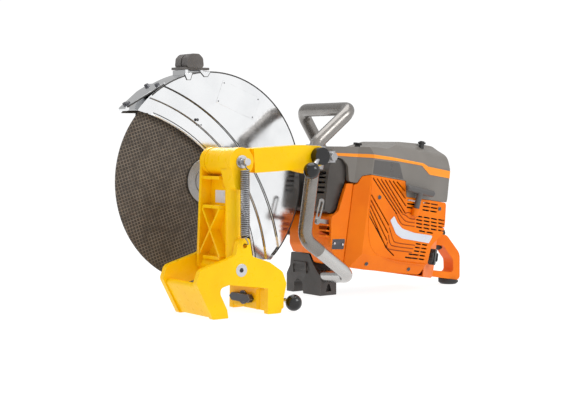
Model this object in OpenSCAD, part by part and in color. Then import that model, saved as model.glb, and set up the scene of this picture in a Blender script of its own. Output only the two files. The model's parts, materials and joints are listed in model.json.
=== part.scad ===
// Petrol cut-off saw on a rail clamp: engine unit, disc and guard, two-bar arm and clamp.
// X runs along the saw (disc end is -X), Y across it (starter side is -Y), Z is up.
// The floor is z = 0. The saw stands nose-up on its rear foot and its front stand.

/* [Cutting disc] */
// Diameter of the abrasive disc
disc_d = 400; // [360:5:404]
// Thickness of the disc
disc_t = 4; // [3:0.5:5]
// Bore of the disc, and diameter of the blade spindle
arbor_d = 25.4; // [20:0.2:28]
// Diameter of the two clamping flanges
flange_d = 92; // [84:1:110]
// Thickness of each clamping flange
flange_t = 8; // [6:0.5:9]

/* [Stance] */
// Nose-up pitch of the saw, in degrees
pitch = 9; // [8:0.25:10]
// Distance from blade axis to rear foot, along the saw
foot_x = 643; // [630:1:655]
// Drop from blade axis to the underside of the rear foot, square to the saw
foot_drop = 141; // [140:0.5:145]
// Diameter of the rear rubber foot
foot_d = 44; // [36:1:48]

/* [Blade guard] */
// Radial distance from the disc to the outside of the guard
guard_reach = 13; // [10:0.5:16]
// Sheet thickness of the guard
guard_t = 2; // [1.5:0.25:2.5]
// Outer face of the guard on the starter side, from the disc centre
guard_near = 22; // [21:0.5:26]
// Outer face of the guard on the belt side, from the disc centre
guard_far = 36; // [32:0.5:38]
// Step between the pressed bands of the guard's side
band_step = 4; // [2:0.5:4.5]
// Radius of the guard's curved lower edge
lip_r = 345; // [335:1:355]
// Width of each pressed band beside that edge
band_w = 30; // [20:1:34]

/* [Cutting arm and belt drive] */
// Outside diameter of the arm's bearing hub
hub_d = 72; // [68:1:80]
// Outside diameter of the blade bearings
bearing_d = 47; // [44:0.5:52]
// Width of one blade bearing
bearing_w = 12; // [9:0.5:13]
// Thickness of the cutting arm plate
arm_t = 14; // [12:0.5:14]
// Diameter of the driven pulley
driven_d = 104; // [96:1:110]
// Diameter of the driving pulley
driver_d = 56; // [52:1:60]
// Width of the belt
belt_w = 14; // [10:0.5:15]
// Thickness of the belt
belt_t = 4; // [3:0.25:5]
// Wall of the belt cover
belt_cover_wall = 3; // [2:0.5:4]

/* [Engine] */
// Distance from blade axis to crank axis, along the saw
crank_x = 405; // [400:1:410]
// Height of the crank axis against the blade axis
crank_z = -37; // [-40:0.5:-34]
// Cylinder bore
bore_d = 60; // [54:0.5:62]
// Piston stroke
stroke = 42; // [38:0.5:44]
// Number of cooling fins on the cylinder
fin_count = 10; // [6:1:12]
// Diameter of the flywheel
flywheel_d = 118; // [100:1:124]
// Diameter of the starter pulley
starter_pulley_d = 64; // [60:1:72]
// Outer face of the starter cover, from the disc centre
cover_y = 130; // [128:0.5:132]
// Wall of the plastic covers
wall = 3; // [2:0.25:3.5]
// Diameter of the fuel cap
cap_d = 34; // [30:1:38]
// Width of a vent slot
vent_w = 3.2; // [2.4:0.1:3.6]
// Height of the deep hump of the top cover above its front edge
hump_h = 40; // [34:1:42]

/* [Handles] */
// Diameter of the front handle tube
tube_d = 27; // [24:0.5:28]
// Wall of the front handle tube
tube_wall = 2; // [1.5:0.25:3]
// Bend radius of the front handle, at the tube's centre
bend_r = 30; // [29:1:34]
// Distance of the handle's side run from the disc centre
tube_y = 150; // [148:0.5:152]
// Width of the rear handle
grip_w = 32; // [28:1:38]

/* [Rail arm] */
// Distance between the arm's two pivots along the upper arm
upper_arm_len = 177; // [172:1:182]
// Tilt of the upper arm at rest, in degrees
arm_tilt = 2.7; // [2:0.1:3.5]
// Height of the upper arm
upper_arm_h = 45; // [38:1:48]
// Diameter of the upper arm's cross barrel
barrel_d = 50; // [46:1:56]
// Diameter of the round column of the upright arm
column_d = 29; // [24:0.5:30]
// Diameter of the pivot pins
pin_d = 16; // [12:0.5:18]
// Outside diameter of the tension spring
spring_d = 18; // [14:0.5:19]
// Diameter of the lock and clamp ball knobs
ball_d = 31; // [26:1:32]

/* [Rail clamp] */
// Outer face of the clamp's front plate, from the disc centre
clamp_y = 205; // [203:0.5:206]
// Distance between the outer faces of the two clamp plates
clamp_w = 128; // [124:1:132]
// Distance between the outer faces of the upright arm's upper fork
fork_w = 101; // [97:1:105]
// Thickness of each clamp plate
plate_t = 12; // [10:0.5:13]
// Height of the lower pivot above the floor
pivot_z = 85; // [82:0.5:90]
// Width of the rail head opening at its mouth
rail_gap = 86; // [80:1:88]
// Height of the rail head opening
rail_h = 56; // [50:1:58]
// Travel of the clamp shoe
shoe_travel = 14; // [8:0.5:16]
// Diameter of the clamp screw
screw_d = 14; // [12:0.5:16]

/* [Hidden] */
$fn = 64;

// Running clearance of a pin in its bore, on the radius
run = 0.05;
// Side clearance between moving parts
gap = 0.5;
// Clearance of a fixed part in its seat
seat = 0.05;
// Gap under a part that stands on another one
seated = 0.3;

// Each bend of a tube is this much thinner, and reaches this many degrees into its straights
bend_step = 0.1;
bend_lap = 1;

// Blade axis above the floor, so that the rear foot stands on it
axis_z = foot_x * sin(pitch) + foot_drop * cos(pitch);
// Rear end of the rear handle, along the saw
handle_end_x = foot_x + 15;
handle_bottom = foot_drop - 10;

// Y levels on the belt side, outwards from the disc
flange_far = disc_t / 2 + flange_t;
hub_y0 = flange_far + 2;
arm_y0 = 42;
arm_y1 = arm_y0 + arm_t;
belt_y0 = arm_y1 + 4;
belt_y1 = belt_y0 + belt_w;
belt_cover_y = belt_y1 + 10 + belt_cover_wall;
guard_bore = hub_d / 2 + run;
guard_ring_r = hub_d / 2 + 20;

// Guard outline, from the blade axis: outer radius, least distance of the curved lower edge
// and centre of that edge, and the ends of the rim
guard_r = disc_d / 2 + guard_reach;
lip_gap = 32.6;
lip_centre = (lip_r - lip_gap) * unit([-240, -200]);
guard_front_z = 131;
guard_front_x = -137;
guard_rear_z = -161;
// Front end of the rim, and the visor's tip below and in front of it
rim_front_z = sqrt(pow(guard_r, 2) - pow(guard_front_x, 2));
visor_drop = 24;
visor_reach = 50;
visor_t = 3;
visor_roll_d = 8;
// Grip on top of the guard, and the lugs that carry it
grip_x0 = -62;
grip_x1 = -14;
grip_y0 = -24;
grip_y1 = 25;
grip_z = guard_r + 1.5;
lug_z = sqrt(pow(guard_r, 2) - pow(grip_x0, 2)) - 0.5;

// Spindle
bolt_d = 12;
bearing_bore = arbor_d + 8;

// Engine levels
case_y0 = -62;
case_y1 = 38;
case_r = 52;
// Block under the crankcase: its front end, and its underside
block_front = 124;
block_z = -122;
shaft_d = 20;
web_r = 36;
web_t = 10;
rod_len = 72;
crank_pin_d = 16;
wrist_pin_d = 12;
deck_z = crank_z + 36;
fin_pitch = 8;
fin_t = 2.4;
fin_span = 98;
cylinder_top = deck_z + fin_pitch * 10 + fin_t;
carb_top = 62;
// Middle of the cylinder, across the saw
mid_y = (case_y0 + case_y1 + 2) / 2;
drum_d = 84;
fly_y0 = -98;
fly_y1 = -68;
start_y0 = -114;
start_y1 = -102;
housing_y1 = -66;
housing_clear = -housing_y1 - 0.5;
starter_bush_d = 14;

// Muffler, tank and rear handle
muffler_y0 = -96;
muffler_y1 = 24;
tank_x0 = 462;
tank_x1 = 548;
tank_top = -48;
cap_turn = 28;
cap_x = 510;
cap_z = -89;
handle_y = -40;
handle_y0 = handle_y - grip_w / 2;
handle_y1 = handle_y + grip_w / 2;
trigger_x = 568;
trigger_z = -50;
lock_x = trigger_x + 12;
lock_z = -43;
lever_pin_d = 4;
switch_x = 558;
foot_wx = foot_x * cos(pitch) - foot_drop * sin(pitch) - 3;

// Buttons on the top cover
button_d = 12;
button_x = 334;
button_y = -40;
knob_stem_d = 8;
knob_y = -30;
knob_z = 62;

// Front handle run, in the saw's own axes
tube_x = 143;
loop_x = 220;
loop_z = 178;
far_leg_x = 372;
far_leg_z = 47;
far_y = 58;
loop_far_x = 249;
leg_dir = unit([loop_far_x - far_leg_x, 0, loop_z + 5 - far_leg_z]);
knee_z = 97;
low_z = -88;
low_x = 268;
low_end_z = -150;
tail_x = 288;
tail_z = -158;
tail_y = -30;
// The coated tube ends where the bare one is pushed into it
low_dir = unit([low_x - tube_x, 0, low_end_z - low_z]);
split_point = [tube_x, -tube_y, low_z] + low_dir * 46;
handle_path = [[far_leg_x, far_y, far_leg_z], [loop_far_x, far_y, loop_z + 5],
               [loop_x, -tube_y, loop_z], [tube_x, -tube_y, knee_z], [tube_x, -tube_y, low_z],
               split_point];
low_path = [split_point, [low_x, -tube_y, low_end_z], [tail_x, tail_y, tail_z]];
// Height of the arm mount on the tube
mount_z = 70;
sleeve_d = 40;
sleeve_h = 44;

// Rail arm frame: pivots on the floor-level axes
clasp_x = tube_x * cos(pitch) + mount_z * sin(pitch);
clasp_z = axis_z - tube_x * sin(pitch) + mount_z * cos(pitch);
// Offset of the arm's first pivot in front of the tube
mount_gap = 30;
mount_wx = clasp_x - mount_gap;
mount_wz = clasp_z + 3;
upper_x = mount_wx - upper_arm_len * cos(arm_tilt);
upper_z = mount_wz - upper_arm_len * sin(arm_tilt);
clamp_far = clamp_y - clamp_w;
yoke_t = 15;
near_face = -clamp_y - 1;
fork_far = near_face + fork_w;
barrel_y0 = near_face + yoke_t + gap;
barrel_y1 = fork_far - yoke_t - gap;
low_barrel_y0 = -clamp_y + plate_t + gap;
low_barrel_y1 = -clamp_far - plate_t - gap;
lower_barrel_d = 42;
yoke_r = barrel_d / 2 + 1;
arm_near = -200;
arm_back = -165;
arm_boss_y = -173;
lock_d = 33;

lower_bore = pin_d + 2 * run;

// Clamp profile, from the lower pivot's foot point
jaw_x = 3;
claw_x = jaw_x - rail_gap;
claw_out = claw_x - 33;
right_out = 45;
shoe_y = -125;
shoe_z = 24;
shoe_len = 70;
shoe_h = 15;
lever_len = 80;
lever_x = 62.5;
lever_dip = 5;
tab_x = -47;
tab_z = 129;
tab_hole_d = 9;
hook_d = 3;
eye_pin_d = 8;

// Outermost values along and across the saw, for the origin
pad_t = 1.2;
knob_out = 30;
front_extent = max(disc_d / 2, visor_reach - guard_front_x + visor_roll_d / 2);
rear_extent = max(foot_wx + foot_d / 2, handle_end_x * cos(pitch) - handle_bottom * sin(pitch));
near_extent = knob_out + ball_d / 2 - arm_near;
far_extent = belt_cover_y + pad_t;
shift_x = (front_extent - rear_extent) / 2;
shift_y = (near_extent - far_extent) / 2;

steel = [0.72, 0.72, 0.74];
dark_steel = [0.25, 0.25, 0.27];
alloy = [0.66, 0.67, 0.68];
dark_grey = [0.27, 0.26, 0.26];
black = [0.08, 0.08, 0.09];
orange = [0.95, 0.42, 0.04];
yellow = [0.98, 0.76, 0.03];
bright = [0.88, 0.89, 0.9];
disc_colour = [0.28, 0.25, 0.23];

// ---- frames ----
module on_floor() {
    translate([shift_x, shift_y, 0]) children();
}

module on_saw() {
    on_floor() translate([0, 0, axis_z]) rotate([0, pitch, 0]) children();
}

module on_axle() {
    on_floor() translate([0, 0, axis_z]) children();
}

// Along the tilted upper arm, from its outer pivot
module on_upper_arm() {
    on_floor() translate([upper_x, 0, upper_z]) rotate([0, -arm_tilt, 0]) children();
}

// ---- shared shapes ----
module rod_y(d, y0, y1, x = 0, z = 0) {
    translate([x, y1, z]) rotate([90, 0, 0]) cylinder(d = d, h = y1 - y0);
}

module rod_x(d, x0, x1, y = 0, z = 0) {
    translate([x0, y, z]) rotate([0, 90, 0]) cylinder(d = d, h = x1 - x0);
}

module rod_z(d, z0, z1, x = 0, y = 0) {
    translate([x, y, z0]) cylinder(d = d, h = z1 - z0);
}

module block(x0, x1, y0, y1, z0, z1) {
    translate([x0, y0, z0]) cube([x1 - x0, y1 - y0, z1 - z0]);
}

// An XZ outline, extruded along Y
module plate_y(y0, y1) {
    translate([0, y1, 0]) rotate([90, 0, 0]) linear_extrude(y1 - y0) children();
}

// A YZ outline, extruded along X
module plate_x(x0, x1) {
    translate([x0, 0, 0]) rotate([90, 0, 90]) linear_extrude(x1 - x0) children();
}

module hex_y(af, y0, y1, x = 0, z = 0) {
    translate([x, y1, z]) rotate([90, 0, 0]) cylinder(d = af / cos(30), h = y1 - y0, $fn = 6);
}

function unit(v) = v / norm(v);

// Points round one corner of an outline; p[2], where given, is the corner's radius
function corner(a, p, b, n) =
    let (r = len(p) > 2 ? p[2] : 0, c = [p[0], p[1]])
    r == 0 ? [c] :
    let (u = unit([a[0], a[1]] - c), v = unit([b[0], b[1]] - c),
         half = acos(u * v) / 2,
         m = c + unit(u + v) * r / sin(half),
         s = c + u * r / tan(half) - m,
         e = c + v * r / tan(half) - m,
         a0 = atan2(s[1], s[0]),
         raw = atan2(e[1], e[0]) - a0,
         turn = raw > 180 ? raw - 360 : raw < -180 ? raw + 360 : raw)
    [for (i = [0:n]) m + r * [cos(a0 + turn * i / n), sin(a0 + turn * i / n)]];

function rounded(pts, n = 6) =
    [for (i = [0:len(pts) - 1])
        each corner(pts[(i + len(pts) - 1) % len(pts)], pts[i], pts[(i + 1) % len(pts)], n)];

// Outline round two circles: radius r0 at the origin, r1 at distance c along X
module belt_line(r0, r1, c) {
    lean = acos((r0 - r1) / c);
    steps = 24;
    polygon(concat(
        [for (i = [0:steps]) let (a = lean + (360 - 2 * lean) * i / steps) r0 * [cos(a), sin(a)]],
        [for (i = [0:steps]) let (a = 2 * lean * i / steps - lean)
            [c + r1 * cos(a), r1 * sin(a)]]));
}

// Everything between the blade axis and the crank axis lies along this line
drive_len = norm([crank_x, crank_z]);
drive_lean = -atan2(crank_z, crank_x);

module along_drive() {
    rotate([0, drive_lean, 0]) children();
}

// Slot with round ends, cut along Y into a side face
module slot_y(a, b, w, y0, y1) {
    lean = atan2(b[1] - a[1], b[0] - a[0]);
    translate([a[0], 0, a[1]]) rotate([0, -lean, 0]) plate_y(y0, y1) {
        translate([0, -w / 2]) square([norm(b - a), w]);
        circle(d = w, $fn = 24);
        translate([norm(b - a), 0]) circle(d = w, $fn = 24);
    }
}

// Tube through points p, bent to the radius r at every inner point
module tube_run(p, d, r) {
    function dir(i) = unit(p[i + 1] - p[i]);
    function turn(i) = acos(dir(i - 1) * dir(i));
    function cut(i) = i == 0 || i == len(p) - 1 ? 0 : r * tan(turn(i) / 2);
    for (i = [0:len(p) - 2])
        along(p[i] + dir(i) * cut(i), dir(i), norm(p[i + 1] - p[i]) - cut(i) - cut(i + 1))
            circle(d = d);
    for (i = [1:len(p) - 2]) {
        u = dir(i - 1);
        side = unit(dir(i) - u * (u * dir(i)));
        start = p[i] - u * cut(i);
        centre = start + side * r;
        up = cross(-side, u);
        multmatrix([[-side[0], u[0], up[0], centre[0]],
                    [-side[1], u[1], up[1], centre[1]],
                    [-side[2], u[2], up[2], centre[2]],
                    [0, 0, 0, 1]])
            rotate([0, 0, -bend_lap]) rotate_extrude(angle = turn(i) + 2 * bend_lap)
                translate([r, 0]) circle(d = d - bend_step);
    }
}

// Extrude a child outline from a point along a direction
module along(start, w, h) {
    u = unit(abs(w[2]) > 0.9 ? cross([1, 0, 0], w) : cross([0, 0, 1], w));
    v = cross(w, u);
    multmatrix([[u[0], v[0], w[0], start[0]],
                [u[1], v[1], w[1], start[1]],
                [u[2], v[2], w[2], start[2]],
                [0, 0, 0, 1]])
        linear_extrude(h) children();
}

// ---- blade, flanges and spindle ----
module cutting_disc() {
    color(disc_colour) on_axle() difference() {
        rod_y(disc_d, -disc_t / 2, disc_t / 2);
        rod_y(arbor_d + 2 * seat, -disc_t, disc_t);
    }
}

module outer_flange() {
    color(alloy) on_axle() difference() {
        union() {
            rod_y(flange_d, -disc_t / 2 - flange_t + 3, -disc_t / 2);
            rod_y(flange_d - 34, -disc_t / 2 - flange_t, -disc_t / 2);
        }
        rod_y(bolt_d + 2 * seat, -disc_t / 2 - flange_t - 1, 0);
        rod_y(arbor_d + 2 * seat, -disc_t / 2 - 2, 0);
    }
}

module inner_flange() {
    color(alloy) on_axle() difference() {
        rod_y(flange_d, disc_t / 2, flange_far);
        rod_y(arbor_d + 2 * seat, 0, flange_far + 1);
    }
}

module blade_bolt() {
    color(steel) on_axle() {
        hex_y(19, -flange_far - 7, -flange_far - 2);
        rod_y(26, -flange_far - 2, -flange_far);
        rod_y(bolt_d, -flange_far - 1, 24);
    }
}

module spindle() {
    color(steel) on_axle() difference() {
        union() {
            rod_y(arbor_d, -disc_t / 2 - 1.5, belt_y1 + 1);
            rod_y(bearing_bore, flange_far, hub_y0 + 3);
            hex_y(24, belt_y1 + 1, belt_y1 + 7);
        }
        rod_y(bolt_d + 2 * seat, -10, 26);
    }
}

module spindle_bearings() {
    color(steel) on_axle() for (y = [hub_y0 + 4, arm_y1 - bearing_w - 1]) difference() {
        rod_y(bearing_d, y, y + bearing_w);
        rod_y(arbor_d + 2 * run, y - 1, y + bearing_w + 1);
    }
}

module driven_pulley() {
    color(dark_steel) on_axle() difference() {
        union() {
            rod_y(driven_d, belt_y0, belt_y1);
            rod_y(driven_d + 6, belt_y0 - 1.5, belt_y0);
            rod_y(driven_d + 6, belt_y1, belt_y1 + 1);
        }
        rod_y(arbor_d + 2 * seat, belt_y0 - 3, belt_y1 + 3);
        rod_y(driven_d - 16, belt_y0 + 5, belt_y1 + 3);
        for (a = [0:60:300]) rotate([0, a, 0]) rod_y(14, belt_y0 - 3, belt_y1 + 3, driven_d * 0.3);
    }
    color(dark_steel) on_axle() difference() {
        rod_y(arbor_d + 14, belt_y0 + 5, belt_y1);
        rod_y(arbor_d + 2 * seat, belt_y0 - 3, belt_y1 + 3);
    }
}

// ---- guard ----
module guard_zone(r) {
    difference() {
        circle(r);
        translate([-r - 50, -r - 50]) square([2 * r + 100, r + 50 + guard_rear_z]);
        translate([-r - 50, -r - 50]) square([r + 50 + guard_front_x, r + 50 + guard_front_z]);
    }
}

// Part of the guard's side between two radii about the centre of the lower edge
module guard_band(r0, r1) {
    intersection() {
        guard_zone(guard_r);
        translate(lip_centre) difference() {
            circle(r1, $fn = 128);
            circle(r0, $fn = 128);
        }
    }
}

module guard_shell() {
    wide = 3 * guard_r;
    fold_r = lip_r + 2 * band_w;
    y_main = -guard_near;
    y_band = y_main + band_step;
    y_lip = y_band + band_step;
    color(bright) on_axle() {
        difference() {
            union() {
                plate_y(y_main, guard_far) difference() {
                    guard_zone(guard_r);
                    circle(guard_r - guard_t);
                    translate(lip_centre) circle(lip_r, $fn = 128);
                }
                plate_y(y_main, y_main + guard_t) guard_band(fold_r, wide);
                plate_y(y_main, y_band + guard_t) guard_band(fold_r, fold_r + guard_t);
                plate_y(y_band, y_band + guard_t) guard_band(lip_r + band_w, fold_r + guard_t);
                plate_y(y_band, y_lip + guard_t)
                    guard_band(lip_r + band_w, lip_r + band_w + guard_t);
                plate_y(y_lip, y_lip + guard_t) guard_band(lip_r, lip_r + band_w + guard_t);
                plate_y(guard_far - guard_t, guard_far) guard_band(lip_r - 20, wide);
                rod_y(2 * guard_ring_r, guard_far - 6, guard_far);
            }
            rod_y(2 * guard_bore, guard_far - 20, guard_far + 20);
        }
        for (x = [grip_x0 + 4, grip_x1 - 10]) difference() {
            block(x, x + 6, -guard_near + 3, guard_far - 8, 150, grip_z);
            rod_y(2 * guard_r - 1, -guard_near, guard_far);
        }
    }
}

module guard_visor() {
    // A plate outside the front of the rim, narrower towards its rolled tip
    tip = [guard_front_x - visor_reach, rim_front_z - visor_drop];
    reach = norm(tip);
    // It leans on the rim, just clear of it
    rest_r = guard_r + seated;
    lean = atan2(tip[1], tip[0]) - acos(rest_r / reach) - 90;
    len = sqrt(pow(reach, 2) - pow(rest_r, 2));
    near = -guard_near - 1.5;
    color(bright) on_axle() translate([tip[0], 0, tip[1]]) rotate([0, -lean, 0]) {
        linear_extrude(visor_t) polygon([[0, near], [len, near], [len, guard_far],
            [len - 30, guard_far], [0, near + 26]]);
        rod_y(visor_roll_d, near, near + 26, 0, visor_t - visor_roll_d / 2);
        for (p = [[len - 10, near + 12], [len - 10, guard_far - 8], [10, near + 8], [10, near + 20]])
            translate([p[0], p[1], visor_t - 0.5]) cylinder(d = 9, h = 4.5);
    }
}

module guard_handle() {
    // Two-lobed rubber grip across the rim, on a base strip
    mid = (grip_x0 + grip_x1) / 2;
    color(black) on_axle() {
        block(grip_x0 - 3, grip_x1 + 9, grip_y0 + 3, grip_y1 - 4, grip_z + seated, grip_z + 5);
        for (y = [grip_y0, grip_y0 + 25]) plate_y(y, y + 21) translate([mid, grip_z + 17])
            polygon(rounded([[-19, -13, 6], [19, -13, 6], [17, 6, 9], [8, 14, 8], [-8, 14, 8],
                [-17, 6, 9]]));
        rod_y(24, grip_y0 + 20, grip_y0 + 26, mid, grip_z + 16);
    }
}

// ---- cutting arm and belt drive ----
module cutting_arm() {
    lug_x0 = far_leg_x - 20;
    lug_x1 = far_leg_x + 20;
    color(alloy) difference() {
        union() {
            on_axle() rod_y(hub_d, hub_y0, arm_y1 - seated);
            on_saw() {
                along_drive() plate_y(arm_y0, arm_y1) {
                    belt_line(hub_d / 2 - 1, case_r, drive_len);
                    polygon(rounded([[20, 30], [90, 44, 20], [330, 52], [330, -50], [90, -44, 20],
                                     [20, -30]]));
                    rotate(drive_lean) translate([lug_x0 + 2, -30])
                        square([lug_x1 - lug_x0 - 4, far_leg_z + 16]);
                }
                block(lug_x0, lug_x1, arm_y0 + 1, far_y + tube_d / 2 + 5,
                      far_leg_z - 20, far_leg_z + 8);
            }
        }
        on_axle() rod_y(arbor_d + 2, hub_y0 - 1, arm_y1 + 1);
        on_axle() rod_y(bearing_bore + 1.5, hub_y0 - 1, hub_y0 + 4);
        on_axle() rod_y(bearing_d + 2 * seat, hub_y0 + 4 - seat, arm_y1 + 1);
        on_saw() rod_y(shaft_d + 6, arm_y0 - 1, arm_y1 + 1, crank_x, crank_z);
        on_saw() along([far_leg_x, far_y, far_leg_z], leg_dir, 60) circle(d = tube_d + 2 * seat);
    }
}

module belt_cover() {
    r0 = driven_d / 2 + belt_t + 10;
    r1 = drum_d / 2 + 10;
    color(dark_grey) difference() {
        on_saw() along_drive() plate_y(arm_y1 + 0.5, belt_cover_y) belt_line(r0, r1, drive_len);
        on_saw() along_drive() plate_y(arm_y1 - 1, belt_cover_y - belt_cover_wall)
            belt_line(r0 - belt_cover_wall, r1 - belt_cover_wall, drive_len);
    }
    color(dark_grey) on_saw() along_drive() for (x = [90, 200, 310])
        plate_y(belt_cover_y - 0.5, belt_cover_y + pad_t) polygon(rounded([
            [x - 34, -22, 8], [x + 34, -20, 8], [x + 34, 18, 8], [x - 34, 20, 8]]));
}

module drive_belt() {
    color(black) on_saw() along_drive() difference() {
        plate_y(belt_y0 + 0.6, belt_y1 - 0.6)
            belt_line(driven_d / 2 + gap + belt_t, driver_d / 2 + gap + belt_t, drive_len);
        plate_y(belt_y0 - 1, belt_y1 + 1)
            belt_line(driven_d / 2 + gap, driver_d / 2 + gap, drive_len);
    }
}

// The belt runs on the inner half of the drum's hub; the drum's cup faces outwards
module clutch_drum() {
    color(steel) on_saw() difference() {
        union() {
            rod_y(driver_d, belt_y0, belt_y1, crank_x, crank_z);
            rod_y(driver_d + 6, belt_y0 - 1.5, belt_y0, crank_x, crank_z);
            rod_y(drum_d - 4, belt_y1, belt_y1 + 9, crank_x, crank_z);
        }
        rod_y(drum_d - 10, belt_y1 + 1, belt_y1 + 10, crank_x, crank_z);
        rod_y(shaft_d + 2 * run, belt_y0 - 3, belt_y1 + 3, crank_x, crank_z);
    }
}

module clutch_hub() {
    color(dark_steel) on_saw() difference() {
        rod_y(drum_d - 14, belt_y1 + 1.6, belt_y1 + 8, crank_x, crank_z);
        rod_y(shaft_d + 2 * seat, belt_y1, belt_y1 + 9, crank_x, crank_z);
        for (a = [0:120:240]) translate([crank_x, 0, crank_z]) rotate([0, a, 0])
            block(-1.5, 1.5, belt_y1, belt_y1 + 9, shaft_d / 2 + 6, drum_d);
    }
}

// ---- engine ----
module crankcase() {
    color(alloy) on_saw() difference() {
        union() {
            rod_y(2 * case_r, case_y0, case_y1, crank_x, crank_z);
            block(crank_x - 52, crank_x + 52, case_y0, case_y1, crank_z - 40, deck_z);
            block(crank_x - block_front, crank_x + 38, -44, 34, block_z, -94);
            block(crank_x - 40, crank_x + 36, -44, 34, -110, crank_z);
            rod_y(46, case_y1 - 1, arm_y0, crank_x, crank_z);
            for (a = [40:100:340]) translate([crank_x, 0, crank_z]) rotate([0, a, 0])
                rod_y(12, housing_y1 - 2, case_y0 + 1, case_r - 4);
        }
        block(crank_x - case_r - 1, crank_x + case_r + 1, case_y0 - 1, case_y1 + 1, deck_z, 60);
        rod_y(2 * web_r + 8, case_y0 + 14, case_y1 - 12, crank_x, crank_z);
        rod_y(shaft_d + 2 * seat, case_y0 - 1, arm_y0 + 1, crank_x, crank_z);
        rod_z(bore_d + 8, crank_z, deck_z + 1, crank_x, mid_y);
    }
}

module cylinder_fins() {
    for (i = [0:fin_count - 1]) {
        z = deck_z + 6 + i * (cylinder_top - deck_z - 8) / fin_count;
        translate([crank_x, mid_y, z]) linear_extrude(fin_t) polygon(rounded([
            [-fin_span / 2, -fin_span / 2 + 6, 14], [fin_span / 2, -fin_span / 2 + 6, 14],
            [fin_span / 2, fin_span / 2 - 6, 14], [-fin_span / 2, fin_span / 2 - 6, 14]]));
    }
}

module engine_cylinder() {
    color(alloy) on_saw() difference() {
        union() {
            cylinder_fins();
            rod_z(bore_d + 14, deck_z, cylinder_top, crank_x, mid_y);
            block(crank_x - 42, crank_x + 42, mid_y - 36, mid_y + 36, deck_z, deck_z + 6);
            block(crank_x + 20, crank_x + 56, mid_y - 16, mid_y + 16, 30, 56);
            block(crank_x - 56, crank_x - 20, mid_y - 18, mid_y + 18, 26, 58);
        }
        rod_z(bore_d, deck_z - 1, cylinder_top - 6, crank_x, mid_y);
        rod_x(26, crank_x - 60, crank_x - 20, mid_y, 42);
        rod_x(22, crank_x + 20, crank_x + 60, mid_y, 43);
        rod_z(14, cylinder_top - 10, cylinder_top + 1, crank_x, mid_y);
    }
}

module piston() {
    crown = crank_z + stroke / 2 + rod_len + 18;
    color(alloy) on_saw() difference() {
        rod_z(bore_d - 2 * run, crown - 42, crown, crank_x, mid_y);
        rod_z(bore_d - 12, crown - 43, crown - 8, crank_x, mid_y);
        rod_y(wrist_pin_d + 2 * run, mid_y - bore_d, mid_y + bore_d, crank_x, crown - 18);
    }
}

module connecting_rod() {
    z0 = crank_z + stroke / 2;
    z1 = z0 + rod_len;
    color(steel) on_saw() {
        difference() {
            union() {
                rod_y(crank_pin_d + 10, mid_y - 6, mid_y + 6, crank_x, z0);
                rod_y(wrist_pin_d + 8, mid_y - 6, mid_y + 6, crank_x, z1);
                block(crank_x - 6, crank_x + 6, mid_y - 4, mid_y + 4, z0, z1);
            }
            rod_y(crank_pin_d + 2 * run, mid_y - 9, mid_y + 9, crank_x, z0);
            rod_y(wrist_pin_d + 2 * run, mid_y - 9, mid_y + 9, crank_x, z1);
        }
        rod_y(wrist_pin_d, mid_y - bore_d / 2 + 6.5, mid_y + bore_d / 2 - 6.5, crank_x, z1);
    }
}

module crankshaft() {
    color(steel) on_saw() {
        rod_y(shaft_d, start_y1 + 3, mid_y - 8, crank_x, crank_z);
        rod_y(shaft_d, mid_y + 8, belt_y1 + 9.5, crank_x, crank_z);
        for (y = [mid_y - 8 - web_t, mid_y + 8]) difference() {
            rod_y(2 * web_r, y, y + web_t, crank_x, crank_z);
            for (s = [-1, 1]) translate([crank_x + s * web_r, 0, crank_z + web_r * 0.9])
                rod_y(web_r * 0.8, y - 1, y + web_t + 1);
        }
        rod_y(crank_pin_d, mid_y - 8, mid_y + 8, crank_x, crank_z + stroke / 2);
    }
}

module flywheel() {
    color(alloy) on_saw() difference() {
        union() {
            rod_y(flywheel_d, fly_y1 - 5, fly_y1, crank_x, crank_z);
            rod_y(46, fly_y0 + 6, fly_y1, crank_x, crank_z);
            for (a = [0:30:330]) translate([crank_x, 0, crank_z]) rotate([0, a, 0])
                block(22, flywheel_d / 2 - 1, fly_y0 + 6, fly_y1, -1.5, 1.5);
        }
        rod_y(shaft_d + 2 * seat, fly_y0, fly_y1 + 1, crank_x, crank_z);
    }
}

// Outline of the starter cover, from its lower front corner
cover_front = 281;
cover_low = -134;
cover_shoulder = 58;
notch_x = 407;
notch_z = 26;
cover_rear = 522;
shoulder_x = 308;
chamfer_y = 20;
starter_outline = rounded([
    [cover_front, cover_low + 2, 10], [cover_front, 33, 3], [cover_front + 6, 37, 4],
    [cover_front + 12, 53, 7], [cover_front + 26, cover_shoulder, 6],
    [notch_x - 8, cover_shoulder, 2], [notch_x, notch_z, 3], [cover_rear - 2, notch_z + 2, 6],
    [cover_rear + 2, -14, 6], [cover_rear + 1, -36, 10], [493, -66, 8], [489, -98, 10],
    [479, cover_low + 4, 8], [328, cover_low, 20]]);

// Plan of the engine's starter side: chamfered towards the front
module side_plan(inset) {
    translate([0, 0, -200]) linear_extrude(400) polygon([
        [200, -cover_y + chamfer_y + 22 + inset], [cover_front, -cover_y + chamfer_y + inset],
        [shoulder_x, -cover_y + inset], [700, -cover_y + inset], [700, 60], [200, 60]]);
}

// Rows of slots, each row a start, an end and the steps to the next row's start and end
module vent_rows(count, a, b, step_a, step_b) {
    for (i = [0:count - 1])
        slot_y(a + i * step_a, b + i * step_b, vent_w, -cover_y - 1, -cover_y + wall + 1.5);
}

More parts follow.
